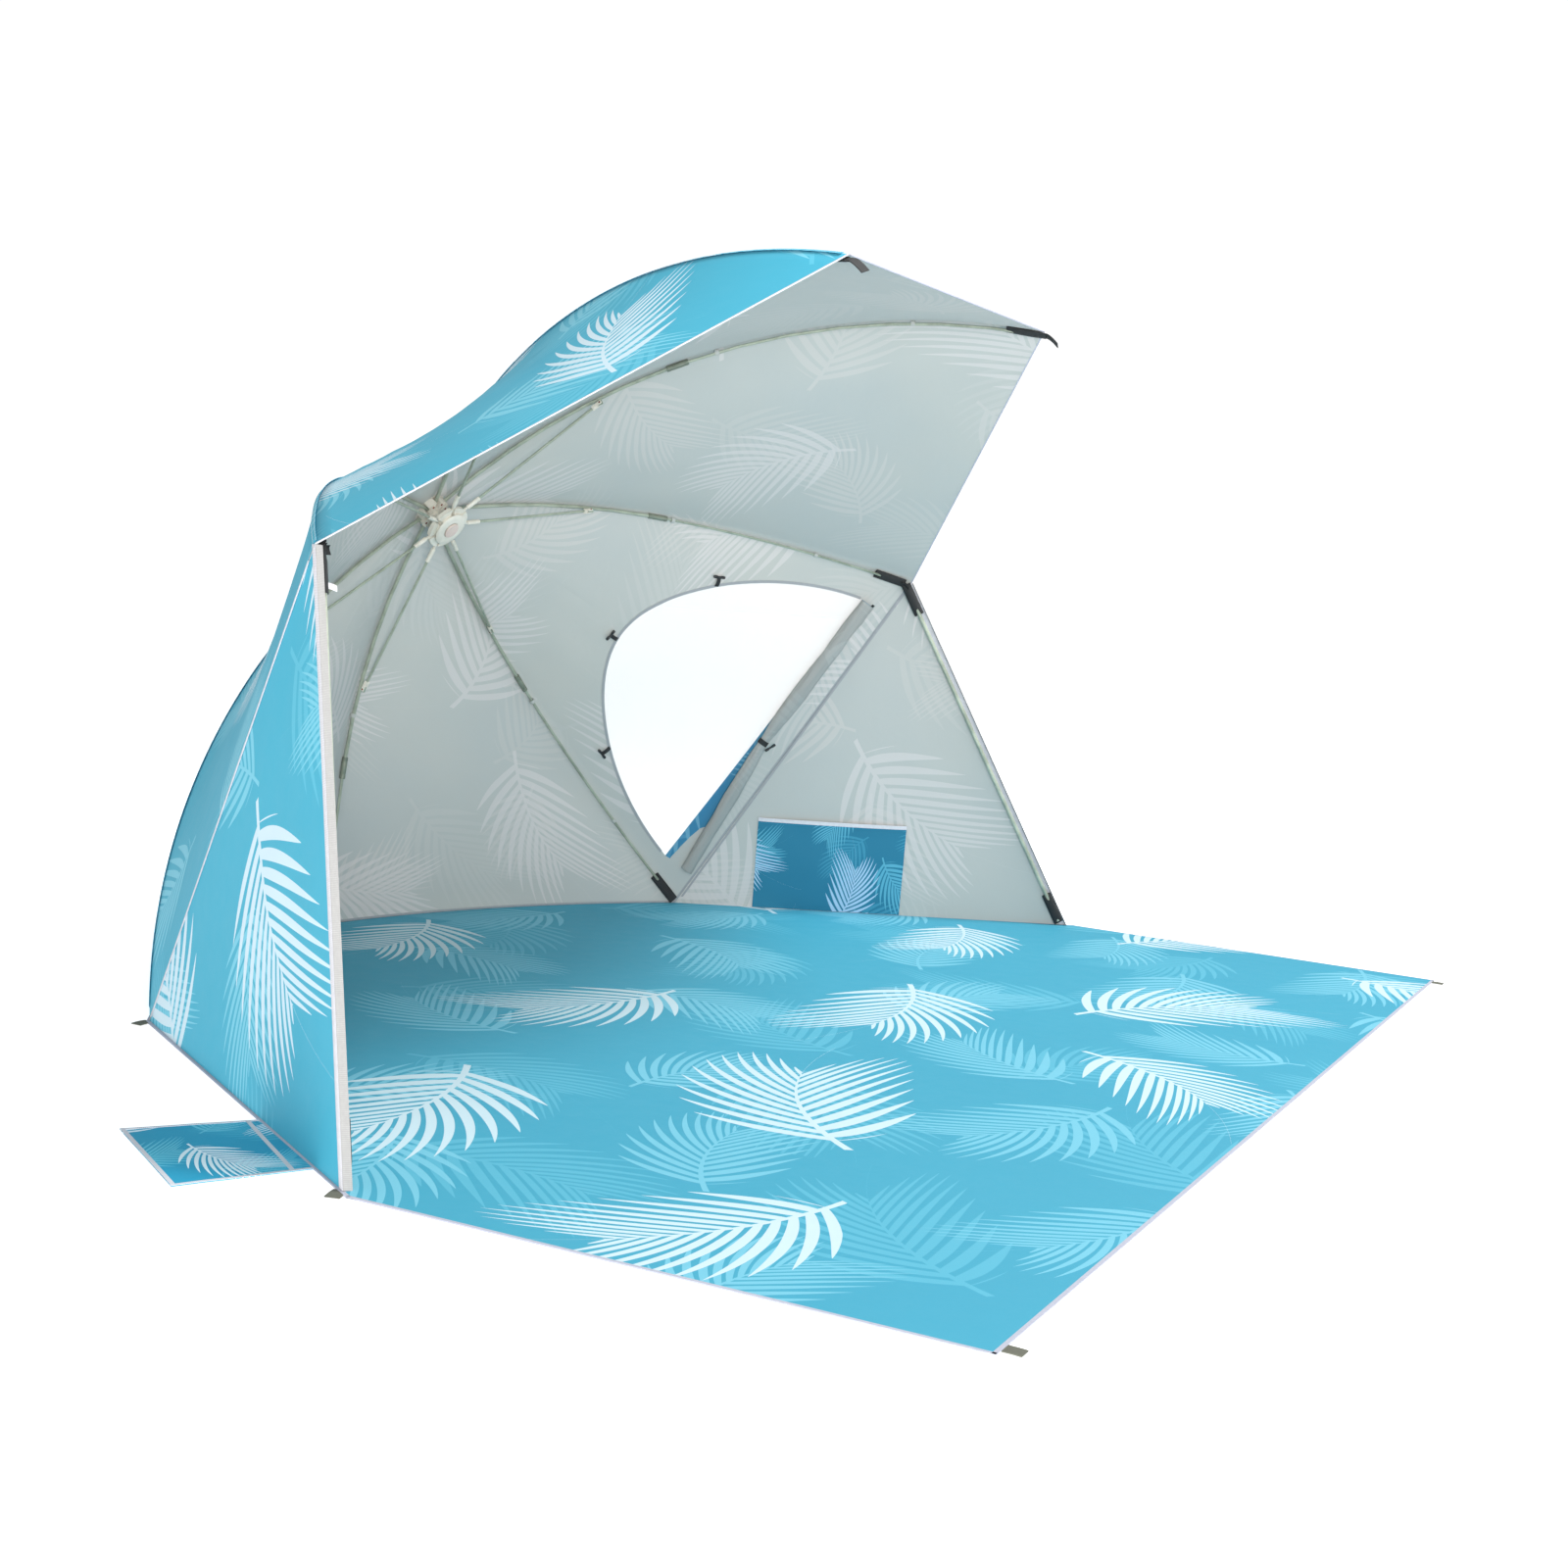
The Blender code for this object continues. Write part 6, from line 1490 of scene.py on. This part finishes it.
def fork_blocks(length):
    """Low and high corners of the fork's cheeks and bridge, and of the runner's tongue."""
    return (((-0.0035, -0.00385, -0.0035), (0.0175, -0.00195, 0.0035)),
            ((-0.0035, 0.00195, -0.0035), (0.0175, 0.00385, 0.0035)),
            ((0.0095, -0.0019, -0.0030), (0.0170, 0.0019, 0.0030)),
            ((length - 0.013, -0.0017, -0.0023), (length + 0.0022, 0.0017, 0.0023)))


for rib in ORDER:
    own = rib_frame(rib)
    joint, lean = rib_arc(RIB_JOINT_ARC)
    outer = own @ Vector((joint.x - sin(lean) * LUG_DROP, 0, joint.y - cos(lean) * LUG_DROP))
    inner = own @ Vector((RUNNER_RADIUS, 0, -RUNNER_DROP))
    run = (inner - outer).normalized()
    length = (inner - outer).length
    across = across_rib(rib)
    at = facing(outer, run, run.cross(across))
    turned_on = at @ Matrix.Rotation(pi / 2, 4, "Y")
    rod_profile, sleeve_profile = stretcher_profiles(length)
    stretcher = spun(rib + "_stretcher_rod", rod_profile, turned_on, ROD_COAT, steps=14)
    sleeve = spun(rib + "_stretcher_sleeve", sleeve_profile, turned_on, CREAM_NYLON, steps=14)
    bm = bmesh.new()
    for low, high in fork_blocks(length):
        low, high = Vector(low), Vector(high)
        bmesh.ops.create_cube(bm, size=1, matrix=Matrix.Translation((low + high) / 2)
                              @ Matrix.Diagonal((*(high - low), 1)))
    bmesh.ops.bevel(bm, geom=bm.edges, offset=FORK_BEVEL, segments=2, affect="EDGES", profile=0.5,
                    material=-1)
    fork = smooth_piece(rib + "_stretcher_fork", bm, at, CREAM_NYLON)
    rivet = spun(rib + "_stretcher_rivet", FORK_RIVET, facing(outer, run, across), RIVET, steps=12)
    for piece in (stretcher, sleeve, fork, rivet):
        fit(piece, rib + "_stretcher", "moulded")
    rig.replaces(fork, rib + "_stretcher")


# Ferrules: a crimped steel sleeve on each rib, where the outer rod plugs into the inner one.
# Ties: short tapes of the silver cloth, sewn to the rib's seam and knotted round the rib.
FERRULE_LONG, FERRULE_PAST = 0.041, 0.001
FERRULE_RADIUS, CRIMP_RADIUS, FERRULE_MOUTH = 0.0054, 0.0050, 0.0040
TIE_PLACES = ((0.49, 0.0046), (0.80, 0.0038))       # share of the rib, and the knot's radius
RIB_TIE_WIDE, TIE_KNOT = 0.007, 0.0016
for rib in ORDER:
    own = rib_frame(rib)
    across = across_rib(rib)
    start, stop = (own @ Vector((place.x, 0, place.y)) for place, lean in
                   (rib_arc(RIB_INNER_LENGTH - FERRULE_LONG), rib_arc(RIB_INNER_LENGTH + FERRULE_PAST)))
    long = (stop - start).length
    half = ((FERRULE_MOUTH, 0), (FERRULE_RADIUS, 0.0006), (FERRULE_RADIUS, 0.007), (CRIMP_RADIUS, 0.0085),
            (FERRULE_RADIUS, 0.010))
    profile = half + tuple((radius, long - height) for radius, height in reversed(half))
    ferrule = spun(rib + "_ferrule", profile, facing(start, across, stop - start), FERRULE_COAT, steps=18)
    fit(ferrule, rib + "_rib", "rod")
    for number, (share, radius) in enumerate(TIE_PLACES):
        middle, way, out = on_rib(rib, share)

        def tie_round(u):
            side, top = cos(2 * pi * u), sin(2 * pi * u)
            lift = radius * top + TIE_KNOT * max(0, top) ** 3
            return middle + across * (radius * side) + out * lift, way, None

        loop = tape("rib_tie_%s_%d" % (rib, number), tie_round, RIB_TIE_WIDE, None, SILVER, steps=20)
        fit(loop, rib + "_rib", "print_cloth")


# Cut sizes: what each sheet measured flat, before it was sewn and hung, with the tapes,
# sleeves and ties that are sewn to it.
PETAL_CUTS = {"left_brow": (0.821, 1.157, 0.495), "left_elbow": (0.851, 1.085, 0.483),
              "left_corner": (0.855, 1.120, 0.435), "back": (0.846, 0.796, 0.367),
              "right_corner": (0.855, 1.120, 0.338), "right_elbow": (0.851, 1.085, 0.394),
              "right_brow": (0.821, 1.157, 0.495)}
NET_CUTS = {"right_corner": (0.368, 0.385, 0.0986), "right_elbow": (0.351, 0.385, 0.0914)}


def named(start, *ends):
    return [bpy.data.objects[start + end] for end in ends]


for rib, (wide, long, area) in PETAL_CUTS.items():
    sewn = [piece for piece in sewn_over[rib] if piece != petals[rib] and piece not in net_halves.values()]
    sewn += named(rib, "_webbing_pocket") + named("rib_tie_" + rib, "_0", "_1")
    sewn += named(rib, "_brow_tab") if rib.endswith("brow") else []
    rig.sheet(petals[rib], flat=(wide, long), held="stretched", rests_on=rib + "_rib_outer", area=area,
             with_pieces=sewn)
for rib, (wide, long, area) in NET_CUTS.items():
    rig.sheet(net_halves[rib], flat=(wide, long), held="stretched", rests_on=petals[rib], area=area)
for side in SIDES:
    sewn = named(side, "_wall_front_tape", "_wall_front_lip", "_wall_piping", "_wall_seam_tape",
                 "_pole_top_webbing", "_pole_foot_webbing", "_elbow_patch", "_elbow_patch_inside")
    sewn += [tag] if side == "left" else []
    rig.sheet(bpy.data.objects[side + "_wall_cloth"], flat=(0.865, 0.780), held="stretched",
             rests_on=side + "_elbow_rib_outer", area=0.310, with_pieces=sewn)
    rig.sheet(bpy.data.objects[side + "_sand_flap_cloth"], flat=(0.232, 0.168), held="laid",
             rests_on=floor_cloth,
             with_pieces=named(side + "_sand_flap_tape_", "back", "front", "outer", "seam"))
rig.sheet(floor_cloth, flat=(2.462, 1.082), held="laid", area=1.828,
         with_pieces=named("floor_tape_", "back", "left", "right")
         + named("peg_tab_", "left_foot", "left_back", "right_back"))
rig.sheet(apron_cloth, flat=(2.462, 0.772), held="laid", area=1.887,
         with_pieces=named("apron_tape_", "left", "right", "front")
         + named("peg_tab_", "left_front", "right_front"))
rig.sheet(flap, flat=(0.250, 0.780), held="folded", rests_on=petals["right_elbow"],
         with_pieces=[tie, tie_bar, end_loop])
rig.sheet(pocket, flat=(0.321, 0.198), held="hung", rests_on=bpy.data.objects["right_wall_cloth"],
         with_pieces=[pocket_tape])


new_low, new_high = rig.bounds()
with open("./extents.json", "w") as size_file:
    json.dump({"cad": [list(cad_low), list(cad_high)], "visual": [list(new_low), list(new_high)]}, size_file)
